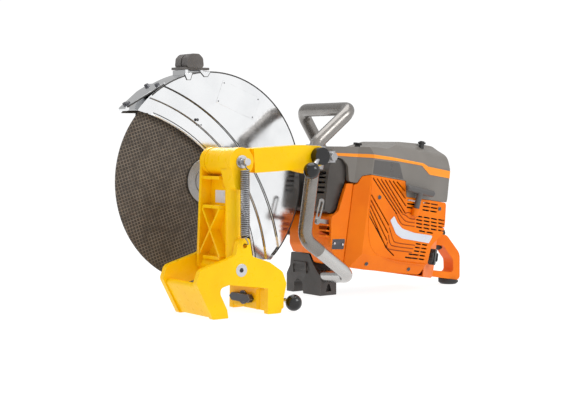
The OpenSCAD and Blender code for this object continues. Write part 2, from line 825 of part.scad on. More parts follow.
module starter_vents() {
    // Slanted slots from the upper edge: the long ones, then those cut short by the notch
    vent_rows(4, [313, 52], [387, -12], [10.7, 0.2], [7, 2]);
    vent_rows(3, [356, 53], [408, 8], [10.5, 0.2], [-3.5, 15]);
    // Slanted slots from the front edge, that follow the bend of the silver strip
    vent_rows(4, [314, 18], [369, -37], [-0.3, -10], [0, -15.4]);
    slot_y([314, -23], [372, -85], vent_w, -cover_y - 1, -cover_y + wall + 1.5);
    slot_y([372, -85], [392, -97], vent_w, -cover_y - 1, -cover_y + wall + 1.5);
    // Level slots behind the bend, in four columns
    for (x = [442, 463, 484, 505]) vent_rows(4, [x, -9.5], [x + 15, -10], [1, -7.4], [1, -7.4]);
    vent_rows(1, [455, -39], [470, -39.4], [0, 0], [0, 0]);
    vent_rows(1, [476, -39.4], [492, -39.8], [0, 0], [0, 0]);
    for (x = [450, 468]) vent_rows(5, [x, -66.6], [x + 12, -66.6], [-1.2, -7.7], [-0.8, -7.7]);
    vent_rows(2, [434, -90], [444, -90], [-9, -7.7], [-1, -7.7]);
    // Level slots behind the pull handle
    for (p = [[413, 434], [457, 474], [479, 496]])
        vent_rows(3, [p[0], 20.5], [p[1], 20.7], [0, -7.6], [0, -7.6]);
}

// The starter side slopes in below its main face
slope_top = -103;
slope_in = 15;
slope_drop = 33;
module lower_slope(inset) {
    plate_x(150, 600) polygon([[-cover_y + inset, 100], [-cover_y + inset, slope_top + inset / 2],
        [-cover_y + slope_in + inset, slope_top - slope_drop], [40, slope_top - slope_drop],
        [40, 100]]);
}

// Rope leaves the starter pulley's groove at its rear edge, goes out through the cover
// and up through a guide to the handle
rope_d = 4.5;
groove = 7;
rope_x = crank_x + starter_pulley_d / 2 - groove + rope_d / 2 + 0.25;
rope_lean = 10;
rope_start_z = 6;
rope_turn_z = rope_start_z - 8;
stem_d = 12;
rope_y = -cover_y - stem_d / 2 - seated;

// Frame of the pull handle: its origin on top of the rope guide
module on_rope() {
    translate([rope_x, rope_y, rope_start_z]) rotate([rope_lean, 0, 0]) children();
}

module starter_housing() {
    color(orange) on_saw() difference() {
        union() {
            intersection() {
                plate_y(-cover_y, housing_y1) polygon(starter_outline);
                side_plan(0);
                lower_slope(0);
            }
            on_rope() translate([0, 0, -16]) cylinder(d = 16, h = 16);
        }
        intersection() {
            plate_y(-cover_y, housing_y1 + 1) offset(delta = -wall) polygon(starter_outline);
            side_plan(wall);
            lower_slope(wall);
        }
        starter_vents();
        on_rope() translate([0, 0, -11]) cylinder(d = 6, h = 20);
        rod_y(6, rope_y, start_y0, rope_x, rope_turn_z);
    }
    color(orange) on_saw() difference() {
        rod_y(24, -cover_y + 1, start_y0 - 0.5, crank_x, crank_z);
        rod_y(8, -cover_y + wall, start_y0, crank_x, crank_z);
    }
    color(orange) on_saw()
        rod_y(starter_bush_d, start_y0 - 1, start_y1 + 2, crank_x, crank_z);
}

module starter_trim() {
    // Bare L-shaped strip on the starter cover
    color(bright) on_saw() plate_y(-cover_y - 1.2, -cover_y) polygon(rounded([
        [380, -17, 2], [371, -27, 2], [391, -53, 14], [408, -60, 12], [484, -62, 3],
        [493, -45, 3], [440, -45, 14], [406, -40, 14], [391, -30, 12]]));
}

module starter_pulley() {
    color(black) on_saw() difference() {
        rod_y(starter_pulley_d, start_y0, start_y1, crank_x, crank_z);
        rod_y(starter_bush_d + 2 * run, start_y0 - 1, start_y1 + 1, crank_x, crank_z);
        difference() {
            rod_y(starter_pulley_d + 1, start_y0 + 3, start_y1 - 3, crank_x, crank_z);
            rod_y(starter_pulley_d - 2 * groove, start_y0, start_y1, crank_x, crank_z);
        }
    }
}

module starter_rope() {
    mid_groove = (start_y0 + start_y1) / 2;
    turn_y = rope_y + (rope_start_z - rope_turn_z) * tan(rope_lean);
    color(black) on_saw() {
        on_rope() translate([0, 0, -8]) cylinder(d = rope_d, h = 18);
        rod_y(rope_d, turn_y, mid_groove, rope_x, rope_turn_z);
        rod_z(rope_d, crank_z, rope_turn_z, rope_x, mid_groove);
        for (y = [turn_y, mid_groove]) translate([rope_x, y, rope_turn_z]) sphere(d = rope_d);
    }
}

module starter_handle() {
    stem = 34;
    color(black) on_saw() on_rope()
        difference() {
            union() {
                translate([0, 0, gap]) cylinder(d = stem_d, h = stem);
                translate([0, 0, stem + 3]) rotate([0, 3, 0]) {
                    rod_x(14, -33, 33);
                    for (x = [-33, 33]) translate([x, 0, 0]) sphere(d = 14);
                }
            }
            translate([0, 0, -1]) cylinder(d = 5, h = 24);
        }
}

// ---- top cover ----
cover_top = 104;
top_far = 44;
top_front = 228;
top_outline = rounded([
    [top_front, 84, 6], [top_front, cover_top, 12], [308, cover_top + 11, 40],
    [352, cover_top + 15, 40], [392, cover_top + hump_h - 5, 30], [448, cover_top + hump_h, 40],
    [499, cover_top + hump_h + 1, 24], [519, cover_top + 20, 24], [cover_rear, notch_z + 12, 6],
    [cover_rear - 1, notch_z + 3, 3], [notch_x + 1, notch_z + 0.8],
    [notch_x - 6.5, cover_shoulder + 0.8], [cover_front + 24.6, cover_shoulder + 0.8, 6],
    [cover_front + 11, 54, 7], [cover_front + 4.8, 38.6, 3], [cover_front - 11, 38.6, 5],
    [cover_front - 17, 70, 14], [cover_front - 30, 82, 8]]);

// Section across the cover: upright sides under round shoulders
module cover_section(inset) {
    plate_x(150, 600) polygon(rounded([
        [-cover_y + inset, -40], [-cover_y + inset, 100, 16], [-cover_y + 13 + inset, 128, 20],
        [-cover_y + 34 + inset, 139, 20], [-62, 190], [-20, 190], [top_far - 26 - inset, 136, 20],
        [top_far - inset, 110, 20], [top_far - inset, -40]]));
}

module top_cover() {
    color(dark_grey) on_saw() difference() {
        intersection() {
            plate_y(-cover_y, top_far) polygon(top_outline);
            side_plan(0);
            cover_section(0);
        }
        intersection() {
            plate_y(-cover_y, top_far + 1) offset(delta = -wall) polygon(top_outline);
            side_plan(wall);
            cover_section(wall);
        }
        block(cover_front + 12, cover_rear - 4, housing_y1, top_far - wall, notch_z - 20, 65);
        block(notch_x + 6, cover_rear - 4, -cover_y + 6, 0, notch_z - 20, 60);
        block(top_front - 8, cover_front + 13, muffler_y0 - 2, muffler_y1 + 2, notch_z, 83);
        latch_stem(seat);
        rod_z(button_d + 2 * run, 90, 150, button_x, button_y);
        rod_x(knob_stem_d + 2 * run, 500, 560, knob_y, knob_z);
    }
}

module top_stripe() {
    band = rounded([[top_front + 0.5, 85.5], [300, 92, 60], [370, 95.4, 60], [439, 95.9, 8],
        [463, 80.2, 8], [540, 80.4], [540, 95.4], [457, 96.4, 8], [438, 102.6, 12], [370, 102, 60],
        [300, 99.4, 60], [top_front + 0.5, 91]]);
    color(orange) on_saw() intersection() {
        plate_y(-cover_y - 1, -20) polygon(band);
        difference() {
            side_plan(-0.8);
            side_plan(0);
        }
        cover_section(-0.8);
        plate_y(-cover_y - 1, -20) polygon(top_outline);
    }
}

module latch_stem(ease) {
    block(452 - ease, 460 + ease, -106 - ease, -98 + ease, cover_top + 20 - ease, cover_top + 46);
}

module cover_latch() {
    color(black) on_saw() {
        latch_stem(0);
        block(450, 462, -108, -96, cover_top + 40, cover_top + 44);
    }
}

module air_filter() {
    color([0.15, 0.15, 0.16]) on_saw() difference() {
        union() {
            block(412, 488, -96, 8, cylinder_top + 9, cover_top + 29);
            rod_z(24, carb_top, cylinder_top + 10, crank_x + 73, mid_y);
        }
        block(418, 482, -90, 2, cylinder_top + 14, cover_top + 23);
        rod_z(17, carb_top - 1, cylinder_top + 15, crank_x + 73, mid_y);
    }
}

module carburettor() {
    color(alloy) on_saw() difference() {
        union() {
            block(crank_x + 56.2, crank_x + 92, mid_y - 18, mid_y + 18, 24, carb_top);
            rod_x(26, crank_x + 92, crank_x + 100, mid_y, 43);
        }
        rod_x(20, crank_x + 55, crank_x + 101, mid_y, 43);
    }
}

module spark_plug() {
    color(steel) on_saw() {
        rod_z(14 - 2 * seat, cylinder_top - 5, cylinder_top + 1, crank_x, mid_y);
        rod_z(17, cylinder_top, cylinder_top + 7, crank_x, mid_y);
    }
}

// ---- muffler and front ----
muffler_outline = rounded([
    [224, 58, 20], [230, 82, 12], [262, 80, 12], [269, 68, 10], [269, 44, 12], [252, -22, 12],
    [238, -32, 10], [226, -24, 8]]);

module muffler() {
    color(dark_grey) on_saw() difference() {
        union() {
            plate_y(muffler_y0, muffler_y1) polygon(muffler_outline);
            rod_x(34, 262, crank_x - 56.2, mid_y, 42);
        }
        plate_y(muffler_y0 + 2, muffler_y1 - 2) offset(delta = -2) polygon(muffler_outline);
        rod_x(24, 256, crank_x - 56, mid_y, 42);
        for (i = [0:4]) block(214, 232, muffler_y0 + 8, muffler_y0 + 34, 48 - i * 10, 52 - i * 10);
    }
}

module muffler_bracket() {
    // Slotted plate and its bolt on the muffler's starter-side corner
    color(bright) on_saw() difference() {
        plate_y(muffler_y0 - 5, muffler_y0 - 3) polygon(rounded([
            [207, -4, 5], [219, -4, 5], [213, -56, 5], [201, -56, 5]]));
        slot_y([212.6, -12], [209, -38], 6, muffler_y0 - 8, muffler_y0);
    }
    color(bright) on_saw() rod_y(9, muffler_y0 - 9, muffler_y0 - 3, 207, -49);
    color(bright) on_saw() block(204, 236.5, muffler_y0 - 3, muffler_y0, -52.6, -44);
}

// Fairing under the muffler: front face and starter-side return
module front_panel() {
    near = -cover_y + chamfer_y + 2;
    edge = cover_front - 0.6;
    outline = rounded([[236, -38, 6], [252, -24, 10], [264, 34], [edge, 36], [edge, -133, 4],
        [268, -131, 10], [244, -98, 14]]);
    color(orange) on_saw() difference() {
        union() {
            plate_y(near, 32) polygon(outline);
            for (i = [0:2]) block(232, 244, near + 6, near + 40, -56 - i * 11, -53 - i * 11);
        }
        plate_y(near + wall, 29) offset(delta = -wall) polygon(outline);
        plate_y(near + 8, 29) polygon([[244, -34], [edge + 1, -34], [edge + 1, 60], [262, 60]]);
        block(262, edge + 5, near + 6, 29, -112, 60);
        block(256, edge + 5, -28, 41, -140, -111.5);
    }
}

module blank_plate() {
    near = -cover_y + chamfer_y + 2;
    color(dark_steel) on_saw() {
        plate_y(near - 1, near) polygon(rounded([[246, -81, 1.5], [277, -77, 1.5], [276, -98, 1.5],
            [246, -101, 1.5]], 2));
        for (x = [250, 272]) rod_y(3.4, near - 2.2, near - 1, x, -90);
    }
}

module housing_screws() {
    color(dark_steel) on_saw() {
        rod_y(8, -cover_y - 1.5, -cover_y, 335, 16);
        rod_y(8, -cover_y - 1.5, -cover_y, 503, 13);
        for (x = [329, 444]) translate([x, -cover_y + slope_in * 0.55, slope_top - slope_drop * 0.55])
            rotate([90 + atan2(slope_in, slope_drop), 0, 0]) cylinder(d = 8, h = 1.5);
        along_drive() for (x = [190, 300], z = [-34, 34]) rod_y(10, arm_y1, arm_y1 + 3, x, z);
    }
}

// ---- rear end ----

// Frame of the filler neck: axis square to the tank's rear chamfer
module at_filler() {
    translate([cap_x, -cover_y + 17, cap_z]) rotate([0, 0, cap_turn]) rotate([90, 0, 0]) children();
}

module fuel_tank() {
    color(orange) on_saw() difference() {
        union() {
            tank_body(0);
            at_filler() translate([0, 0, -9]) cylinder(d = cap_d, h = 8);
        }
        tank_body(wall);
        at_filler() translate([0, 0, -30]) cylinder(d = cap_d - 8, h = 50);
    }
}

module tank_body(inset) {
    intersection() {
        plate_y(-cover_y + 10 + inset, 30 - inset) offset(delta = -inset) polygon(rounded([
            [tank_x0, tank_top - 22, 6], [505, tank_top - 22, 6], [528, tank_top - 8, 6],
            [tank_x1, tank_top, 6], [tank_x1, cover_low, 12], [tank_x0, cover_low, 4]]));
        translate([0, 0, -200]) linear_extrude(200) polygon([
            [400, -housing_clear - inset], [494, -housing_clear - inset],
            [494, -cover_y + 16 + inset], [560 - inset, -cover_y + 50 + inset],
            [560 - inset, 40], [400, 40]]);
    }
}

module fuel_cap() {
    color(black) on_saw() difference() {
        union() {
            at_filler() translate([0, 0, -0.7]) cylinder(d = cap_d, h = 12);
            at_filler() translate([0, 0, -10]) cylinder(d = cap_d - 8 - 2 * run, h = 11);
        }
        for (a = [0:40:320]) at_filler() rotate([0, 0, a]) translate([cap_d / 2 + 2, 0, 2])
            cylinder(d = 7, h = 12);
        for (s = [-1, 1]) at_filler() translate([s * 9 - 4, -cap_d / 2, 7]) cube([8, cap_d, 6]);
    }
}

loop_outer = rounded([
    [tank_x1 + seated, -42, 4], [foot_x - 41, -35, 22], [handle_end_x - 9, -72, 26],
    [handle_end_x, -handle_bottom + 4, 9], [handle_end_x - 8, -handle_bottom, 4],
    [tank_x1 + seated, -handle_bottom, 3]]);
loop_inner = rounded([
    [tank_x1 + 9, -62, 6], [foot_x - 46, -60, 14], [handle_end_x - 27, -88, 14],
    [handle_end_x - 21, -handle_bottom + 15, 8], [tank_x1 + 9, -handle_bottom + 14, 6]]);

module rear_handle() {
    color(orange) on_saw() difference() {
        union() {
            plate_y(handle_y0, handle_y1) polygon(loop_outer);
            block(tank_x1 - 6, tank_x1 + 8, handle_y0, handle_y1, tank_top + seated, -40);
        }
        plate_y(handle_y0 - 1, handle_y1 + 1) polygon(loop_inner);
        block(trigger_x - 8, trigger_x + 44, handle_y - 6 - gap, handle_y + 6 + gap, -66, -20);
        block(switch_x - 9, switch_x + 9, handle_y0 - 1, handle_y0 + 5, -56, -46);
        rod_y(lever_pin_d + 2 * run, handle_y - 10.5, handle_y + 10.5, trigger_x, trigger_z);
        rod_y(lever_pin_d + 2 * run, handle_y - 10.5, handle_y + 10.5, lock_x, lock_z);
    }
}

module rear_foot() {
    // A round rubber block, cut off along the tilted underside of the handle
    stock = 24;
    color(black) difference() {
        on_floor() translate([foot_wx, handle_y, 0]) rotate_extrude() polygon(rounded([
            [0, 0], [foot_d / 2 - 5, 0, 2], [foot_d / 2, 4, 2], [foot_d / 2, stock], [0, stock]]));
        on_saw() block(500, 700, -100, 20, -handle_bottom - seat, 0);
    }
}

module throttle_trigger() {
    color(black) on_saw() difference() {
        union() {
            rod_y(10, handle_y - 6, handle_y + 6, trigger_x, trigger_z);
            plate_y(handle_y - 6, handle_y + 6) polygon(rounded([
                [trigger_x - 3, -50], [trigger_x + 40, -52, 3], [trigger_x + 40, -62, 4],
                [trigger_x + 26, -72, 8], [trigger_x + 10, -66, 8], [trigger_x - 4, -54, 2]]));
        }
        rod_y(lever_pin_d - 0.1, -60, -20, trigger_x, trigger_z);
    }
    color(steel) on_saw() rod_y(lever_pin_d, handle_y - 10, handle_y + 10, trigger_x, trigger_z);
}

module throttle_lock() {
    color(black) on_saw() {
        rod_y(8, handle_y - 6, handle_y + 6, lock_x, lock_z);
        plate_y(handle_y - 6, handle_y + 6) polygon(rounded([
            [lock_x - 4, -42], [lock_x + 24, -40, 2], [lock_x + 28, -32, 3],
            [lock_x + 22, -22, 6], [lock_x - 2, -31, 6], [lock_x - 8, -37, 2]]));
        rod_y(lever_pin_d, handle_y - 10, handle_y + 10, lock_x, lock_z);
    }
}

module stop_switch() {
    color(black) on_saw() block(switch_x - 5, switch_x + 5, handle_y0 - 4, handle_y0 + 4, -55, -47);
}

module choke_knob() {
    color(black) on_saw() {
        rod_x(knob_stem_d, 512, 540, knob_y, knob_z);
        rod_x(20, 536, 546, knob_y, knob_z);
    }
}

module decompression_button() {
    color(black) on_saw() {
        rod_z(button_d, 98, 122, button_x, button_y);
        rod_z(button_d + 6, 123, 127, button_x, button_y);
        rod_z(button_d - 2, 120, 124, button_x, button_y);
    }
}

module vibration_springs() {
    color(dark_steel) on_saw() for (y = [-30, 10]) difference() {
        rod_x(22, crank_x + 38.3, tank_x0 - seated, y, -108);
        rod_x(15, crank_x + 38, tank_x0, y, -108);
    }
}

// ---- front handle ----

module front_handle() {
    color(dark_grey) on_saw() difference() {
        tube_run(handle_path, tube_d, bend_r);
        along(split_point - low_dir * 12, low_dir, 14) circle(d = tube_d - 2 * tube_wall + 2 * seat);
    }
}

module lower_tube() {
    color(bright) on_saw() {
        tube_run(low_path, tube_d - 1, bend_r);
        along(split_point - low_dir * 11, low_dir, 12) circle(d = tube_d - 2 * tube_wall);
    }
}

module front_stand() {
    // Cast foot under the nose: two legs with an arch between, and a neck to the engine
    x0 = 243;
    x1 = 284;
    front = rounded([
        [-52, 0, 2], [8, 0, 2], [11, 24, 8], [26, 31, 8], [39, 24, 8], [41, 0, 2], [66, 0, 2],
        [66, 38, 8], [54, 56, 8], [50, 84, 3], [-12, 84, 3], [-24, 66, 8], [-42, 48, 12],
        [-52, 40, 6]]);
    color(dark_grey) difference() {
        union() {
            on_floor() plate_x(x0, x1) polygon(front);
            on_floor() plate_x(x0 - 3, x0 + 1) difference() {
                polygon(rounded([[-6, 42, 3], [-6, 66, 4], [44, 66, 4], [44, 42, 3]]));
                polygon(rounded([[-1, 40], [-1, 61, 3], [39, 61, 3], [39, 40]]));
            }
            on_saw() block(268, 314, -12, 40, -150, block_z - seated);
        }
        on_saw() block(crank_x - block_front - seated, crank_x, -60, 60, block_z - seated, 0);
        on_floor() plate_y(-60, -44) polygon(rounded([[256, 8, 2], [272, 8, 2], [264, 30, 3]]));
        on_saw() along([tail_x, tail_y, tail_z], unit([low_x - tail_x, -tube_y - tail_y,
            low_end_z - tail_z]), 60) circle(d = tube_d - 1 + 2 * seat);
    }
}

// ---- rail arm ----
// Grey sleeve clamped round the side tube, with the stub that carries the upper arm
module arm_mount() {
    // Clasp round the side tube, its pinch bolt, and the stub that carries the upper arm
    color(alloy) difference() {
        union() {
            on_saw() rod_z(sleeve_d, mount_z - sleeve_h / 2, mount_z + sleeve_h / 2, tube_x,
                -tube_y);
            on_floor() rod_y(lock_d + 2, arm_boss_y + gap, -tube_y, mount_wx, mount_wz);
            on_floor() block(mount_wx, clasp_x, arm_boss_y + gap, -tube_y + 6, mount_wz - 16,
                mount_wz + 14);
            on_floor() rod_y(pin_d, arm_near - 14, -tube_y, mount_wx, mount_wz);
            on_floor() block(clasp_x, clasp_x + 34, -tube_y - 22, -tube_y + 16, clasp_z - 10,
                clasp_z + 12);
        }
        on_saw() rod_z(tube_d + 2 * seat, mount_z - sleeve_h, mount_z + sleeve_h, tube_x, -tube_y);
        // Room for the tube's bend
        on_saw() along([tube_x, -tube_y, knee_z - bend_r / 2], unit([loop_x - tube_x, 0,
            loop_z - knee_z]), 50) circle(d = tube_d + 6);
        on_floor() block(clasp_x + 6, clasp_x + 40, -tube_y - 4, -tube_y - 1, clasp_z - 40,
            clasp_z + 40);
    }
    color(steel) on_floor() {
        rod_y(20, -tube_y - 25, -tube_y - 22, clasp_x + 24, clasp_z + 1);
        hex_y(14, -tube_y - 33, -tube_y - 25, clasp_x + 24, clasp_z + 1);
    }
}

module lock_lever() {
    // Black hub on the arm's first pivot, with a short rod and a ball
    knob = [-37, -30, -26];
    hub = [0, arm_near - 8, 0];
    color(black) on_floor() translate([mount_wx, 0, mount_wz]) {
        difference() {
            rod_y(lock_d, arm_near - 16, arm_near - gap);
            rod_y(pin_d + 2 * run, arm_near - 14.5, arm_near);
        }
        translate([knob[0], arm_near + knob[1], knob[2]]) sphere(d = ball_d);
    }
    color(steel) on_floor() translate([mount_wx, 0, mount_wz])
        along(hub + [-10, -4, -7], unit([knob[0] + 10, knob[1] + 12, knob[2] + 7]), 34)
            circle(d = 9);
}

module upper_arm() {
    // A box beam with a cross barrel at one end and a flat round boss at the other
    half = upper_arm_h / 2;
    box_end = upper_arm_len - 26;
    color(yellow) on_upper_arm() difference() {
        union() {
            rod_y(barrel_d, barrel_y0, barrel_y1);
            plate_y(arm_near, arm_back) polygon(rounded([
                [32, half, 2], [box_end, half], [box_end, -half], [32, -half, 2]]));
            plate_y(-188, arm_back - 1) polygon([[4, half - 1], [33, half - 1], [33, 1 - half],
                [4, 1 - half]]);
            plate_y(arm_near, arm_boss_y) {
                polygon([[box_end - 4, half], [upper_arm_len, half - 3],
                    [upper_arm_len, 3 - half], [box_end - 4, -half]]);
                translate([upper_arm_len, 0]) circle(half - 3);
            }
            plate_y(arm_boss_y - 8, arm_boss_y) polygon([[box_end - 34, -half + 1],
                [box_end + 4, -half - 9], [upper_arm_len + 4, 5 - half], [box_end, half - 8]]);
        }
        rod_y(pin_d + 2 * run, arm_near - 1, arm_boss_y + 1, upper_arm_len);
        rod_y(pin_d + 2 * run, barrel_y0 - 1, barrel_y1 + 1);
    }
}

module upper_pivot_bolt() {
    color(steel) on_floor() {
        rod_y(pin_d, near_face - 2, fork_far + 4, upper_x, upper_z);
        rod_y(24, near_face - 2.5, near_face, upper_x, upper_z);
        rod_y(24, fork_far, fork_far + 3, upper_x, upper_z);
        hex_y(19, fork_far + 3, fork_far + 9, upper_x, upper_z);
        rod_y(eye_pin_d, near_face - 16, near_face - 2, upper_x, upper_z);
        rod_y(13, near_face - 20, near_face - 16, upper_x, upper_z);
    }
}

module upright_arm() {
    // Casting in the YZ plane: round near column, far flange, a web and crossed ribs on it
    front = upper_x - 25;
    back = upper_x + 22;
    web0 = upper_x - 3;
    web1 = upper_x + 3;
    low = pivot_z;
    top = upper_z;
    column_y = low_barrel_y0 + column_d / 2 + gap;
    inner = column_y + column_d / 2 - 3;
    foot_y = low_barrel_y1 - 1;
    rung = low + 110;
    web_low = low + 16;
    flange_w = 7;
    far_top = fork_far - flange_w;
    far_low = foot_y - flange_w;
    color(yellow) on_floor() difference() {
        union() {
            rod_y(lower_barrel_d, low_barrel_y0, low_barrel_y1, upper_x, low);
            rod_y(2 * yoke_r, near_face, near_face + yoke_t, upper_x, top);
            rod_y(2 * yoke_r, fork_far - yoke_t, fork_far, upper_x, top);
            rod_z(column_d, low + 4, top - yoke_r - 6, upper_x, column_y);
            plate_y(near_face, column_y + 6) polygon(rounded([
                [upper_x - 14, top - 50, 8], [upper_x + 10, top - 50, 6],
                [upper_x + 10, top - 8], [upper_x - yoke_r + 2, top - 8]]));
            plate_x(front, back) polygon([[far_top, top], [fork_far, top], [foot_y, low],
                [far_low, low]]);
            plate_x(web0, web1) polygon([[inner, top - yoke_r - 1.5], [far_top + 1, top - yoke_r - 1.5],
                [far_low + 1, web_low], [inner, web_low]]);
            for (z = [web_low, rung, top - yoke_r - 7])
                block(front + 2, back - 2, inner, far_top + 2, z, z + 6);
            plate_x(front + 2, web0 + 1) {
                cross_rib([inner, rung], [far_low + 2, web_low + 6], 4);
                cross_rib([inner, web_low + 6], [far_top + 4, rung], 4);
            }
        }
        rod_y(lower_bore, low_barrel_y0 - 2, low_barrel_y1 + 2, upper_x, low);
        rod_y(pin_d + 2 * seat, near_face - 2, fork_far + 2, upper_x, top);
        rod_y(barrel_d + 3, near_face + yoke_t, fork_far - yoke_t, upper_x, top);
        rod_y(25, fork_far, fork_far + 10, upper_x, top);
        block(web0 - 1, web1 + 1, inner, inner + 16, rung + 38, top - yoke_r - 8);
    }
    color(bright) on_floor() block(web0 - 0.8, web0, inner + 3, inner + 42, rung + 10, rung + 33);
}

module cross_rib(a, b, w) {
    u = unit(b - a);
    n = [-u[1], u[0]] * w / 2;
    polygon([a + n, b + n, b - n, a - n]);
}

module tension_spring() {
    // Coil envelope with an eye at the top and a hook at the bottom
    y = near_face - 10.5;
    top = upper_z - 9;
    low = 148;
    start = [upper_x, y, low + 1];
    // The hook hangs in the top of the clamp's hole
    hook = [tab_x, y, tab_z + (tab_hole_d - hook_d) / 2 - run];
    color(dark_steel) on_floor() {
        difference() {
            rod_z(spring_d, low, top - 5, upper_x, y);
            rod_z(spring_d - 6, low + 3, top - 8, upper_x, y);
        }
        rod_z(hook_d - 0.8, top - 6, top + 2, upper_x, y);
        difference() {
            rod_y(15, y - hook_d / 2, y + hook_d / 2, upper_x, upper_z);
            rod_y(eye_pin_d + 2 * run, y - 2, y + 2, upper_x, upper_z);
        }
        along(start, unit(hook - start), norm(hook - start)) circle(d = hook_d - 0.4);
        rod_y(hook_d, y - hook_d / 2, near_face + 7, hook[0], hook[2]);
    }
}

// ---- rail clamp ----
module clamp_outline() {
    polygon(rounded([
        [claw_out, 0, 3], [claw_out - 35, 66, 12], [claw_out - 26, 90, 14], [-76, 109, 10],
        [-67, 113, 3], [-60, 140, 5], [-37, 143, 5], [-31, 109, 6], [8, 96, 16], [37, 77, 16],
        [right_out + 1, 54, 10], [33, 0, 3], [jaw_x, 0, 2], [jaw_x + 1, rail_h - 8, 2],
        [claw_x + 2, rail_h + 4, 6], [claw_x - 17, rail_h - 1, 8], [claw_x - 17, rail_h - 12, 10],
        [claw_x - 3, 16, 10], [claw_x, 0, 2]]));
}

module rail_clamp() {
    y0 = -clamp_y;
    y1 = -clamp_far;
    color(yellow) on_floor() difference() {
        union() {
            for (y = [y0, y1 - plate_t]) plate_y(y, y + plate_t) clamp_outline();
            plate_y(y0 + 1, y1 - 1) polygon(rounded([
                [claw_out + 3, 2, 2], [claw_out - 31, 64, 6], [claw_out - 20, 66, 4],
                [claw_x - 14, 20, 3], [claw_x - 12, 2, 2]]));
            plate_y(y0 + 1, y1 - 1) polygon(rounded([
                [jaw_x + 1, 5, 2], [jaw_x + 1, 46, 3], [40, 50, 5], [40, 8, 4]]));
            rod_z(10, 6, 45, jaw_x + 2, -172);
        }
        rod_y(pin_d + 2 * seat, y0 - 1, y1 + 1, upper_x, pivot_z);
        rod_y(24 + 2 * seat, y0 - 1, y0 + 3, upper_x, pivot_z);
        rod_y(tab_hole_d, y0 - 1, y0 + plate_t + 1, tab_x, tab_z);
        rod_x(screw_d + 2 * run, -10, 60, shoe_y, shoe_z);
        rod_x(26 + 2 * run, jaw_x, jaw_x + shoe_travel + 4, shoe_y, shoe_z);
    }
}

module lower_pivot_bolt() {
    y0 = -clamp_y;
    color(steel) on_floor() difference() {
        union() {
            rod_y(pin_d, y0 + 0.5, -clamp_far + 6, upper_x, pivot_z);
            rod_y(24, y0 - 0.5, y0 + 3, upper_x, pivot_z);
            rod_y(24, -clamp_far, -clamp_far + 3, upper_x, pivot_z);
        }
        hex_y(8, y0 - 1, y0 + 6, upper_x, pivot_z);
    }
}

module clamp_shoe() {
    // Hardened pad with a threaded neck that the screw drives
    color(dark_steel) on_floor() difference() {
        union() {
            plate_x(jaw_x - 9, jaw_x + 0.6) translate([shoe_y, shoe_z]) polygon([
                [-shoe_len / 2, 0], [8 - shoe_len / 2, shoe_h / 2], [shoe_len / 2 - 8, shoe_h / 2],
                [shoe_len / 2, 0], [shoe_len / 2 - 8, -shoe_h / 2], [8 - shoe_len / 2, -shoe_h / 2]]);
            rod_x(26, jaw_x - 2, jaw_x + shoe_travel + 3, shoe_y, shoe_z);
        }
        rod_x(screw_d + 2 * run, jaw_x - 5, jaw_x + shoe_travel + 6, shoe_y, shoe_z);
    }
}

module clamp_screw() {
    color(steel) on_floor() {
        rod_x(screw_d, jaw_x - 4, lever_x + 4, shoe_y, shoe_z);
        rod_x(24, 40 + seated, lever_x - 6, shoe_y, shoe_z);
        translate([lever_x, shoe_y, shoe_z]) rotate([lever_dip, 0, 0])
            rod_y(10, -lever_len, 8);
    }
    color(black) on_floor() translate([lever_x, shoe_y, shoe_z]) rotate([lever_dip, 0, 0])
        translate([0, -lever_len, 0]) sphere(d = ball_d);
}

crankcase();
engine_cylinder();
piston();
connecting_rod();
crankshaft();
flywheel();
starter_housing();
starter_trim();
starter_pulley();
starter_rope();
starter_handle();
top_cover();
top_stripe();
cover_latch();
air_filter();
carburettor();
spark_plug();
muffler();
muffler_bracket();
front_panel();
blank_plate();
fuel_tank();
fuel_cap();
rear_handle();
rear_foot();
throttle_trigger();
throttle_lock();
stop_switch();
choke_knob();
decompression_button();
vibration_springs();
cutting_arm();
belt_cover();
drive_belt();
clutch_drum();
clutch_hub();
driven_pulley();
spindle();
spindle_bearings();
inner_flange();
outer_flange();
blade_bolt();
cutting_disc();
guard_shell();
guard_visor();
guard_handle();
front_handle();
lower_tube();
front_stand();
housing_screws();
arm_mount();
lock_lever();
upper_arm();
upper_pivot_bolt();
upright_arm();
tension_spring();
rail_clamp();
lower_pivot_bolt();
clamp_shoe();
clamp_screw();
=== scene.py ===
# Looks of the petrol rail cut-off saw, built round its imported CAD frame.
# Metres, but millimetres in the SAW, HUB and FLOOR axes.
import json
import math

import bmesh
import bpy
from mathutils import Matrix, Vector


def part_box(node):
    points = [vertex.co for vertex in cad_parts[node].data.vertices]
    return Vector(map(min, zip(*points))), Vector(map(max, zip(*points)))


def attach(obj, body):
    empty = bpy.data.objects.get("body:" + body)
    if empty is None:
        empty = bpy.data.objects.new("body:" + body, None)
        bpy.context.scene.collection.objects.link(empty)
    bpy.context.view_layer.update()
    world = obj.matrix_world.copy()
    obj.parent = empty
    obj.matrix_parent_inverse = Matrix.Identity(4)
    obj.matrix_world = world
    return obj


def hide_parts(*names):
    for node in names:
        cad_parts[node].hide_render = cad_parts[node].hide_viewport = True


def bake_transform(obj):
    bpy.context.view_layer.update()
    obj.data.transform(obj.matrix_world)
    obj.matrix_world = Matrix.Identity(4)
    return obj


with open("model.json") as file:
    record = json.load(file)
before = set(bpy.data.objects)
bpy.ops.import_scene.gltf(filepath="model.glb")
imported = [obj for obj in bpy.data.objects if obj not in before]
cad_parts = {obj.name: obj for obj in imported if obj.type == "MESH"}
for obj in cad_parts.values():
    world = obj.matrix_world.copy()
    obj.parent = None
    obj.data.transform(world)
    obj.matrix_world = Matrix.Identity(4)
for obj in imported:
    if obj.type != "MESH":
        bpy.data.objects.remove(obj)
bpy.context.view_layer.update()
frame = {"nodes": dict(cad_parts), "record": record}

MM = 0.001
NODE_BODY = {node: body for body, nodes in frame["record"]["behaviour"]["bodies"].items()
             for node in nodes}
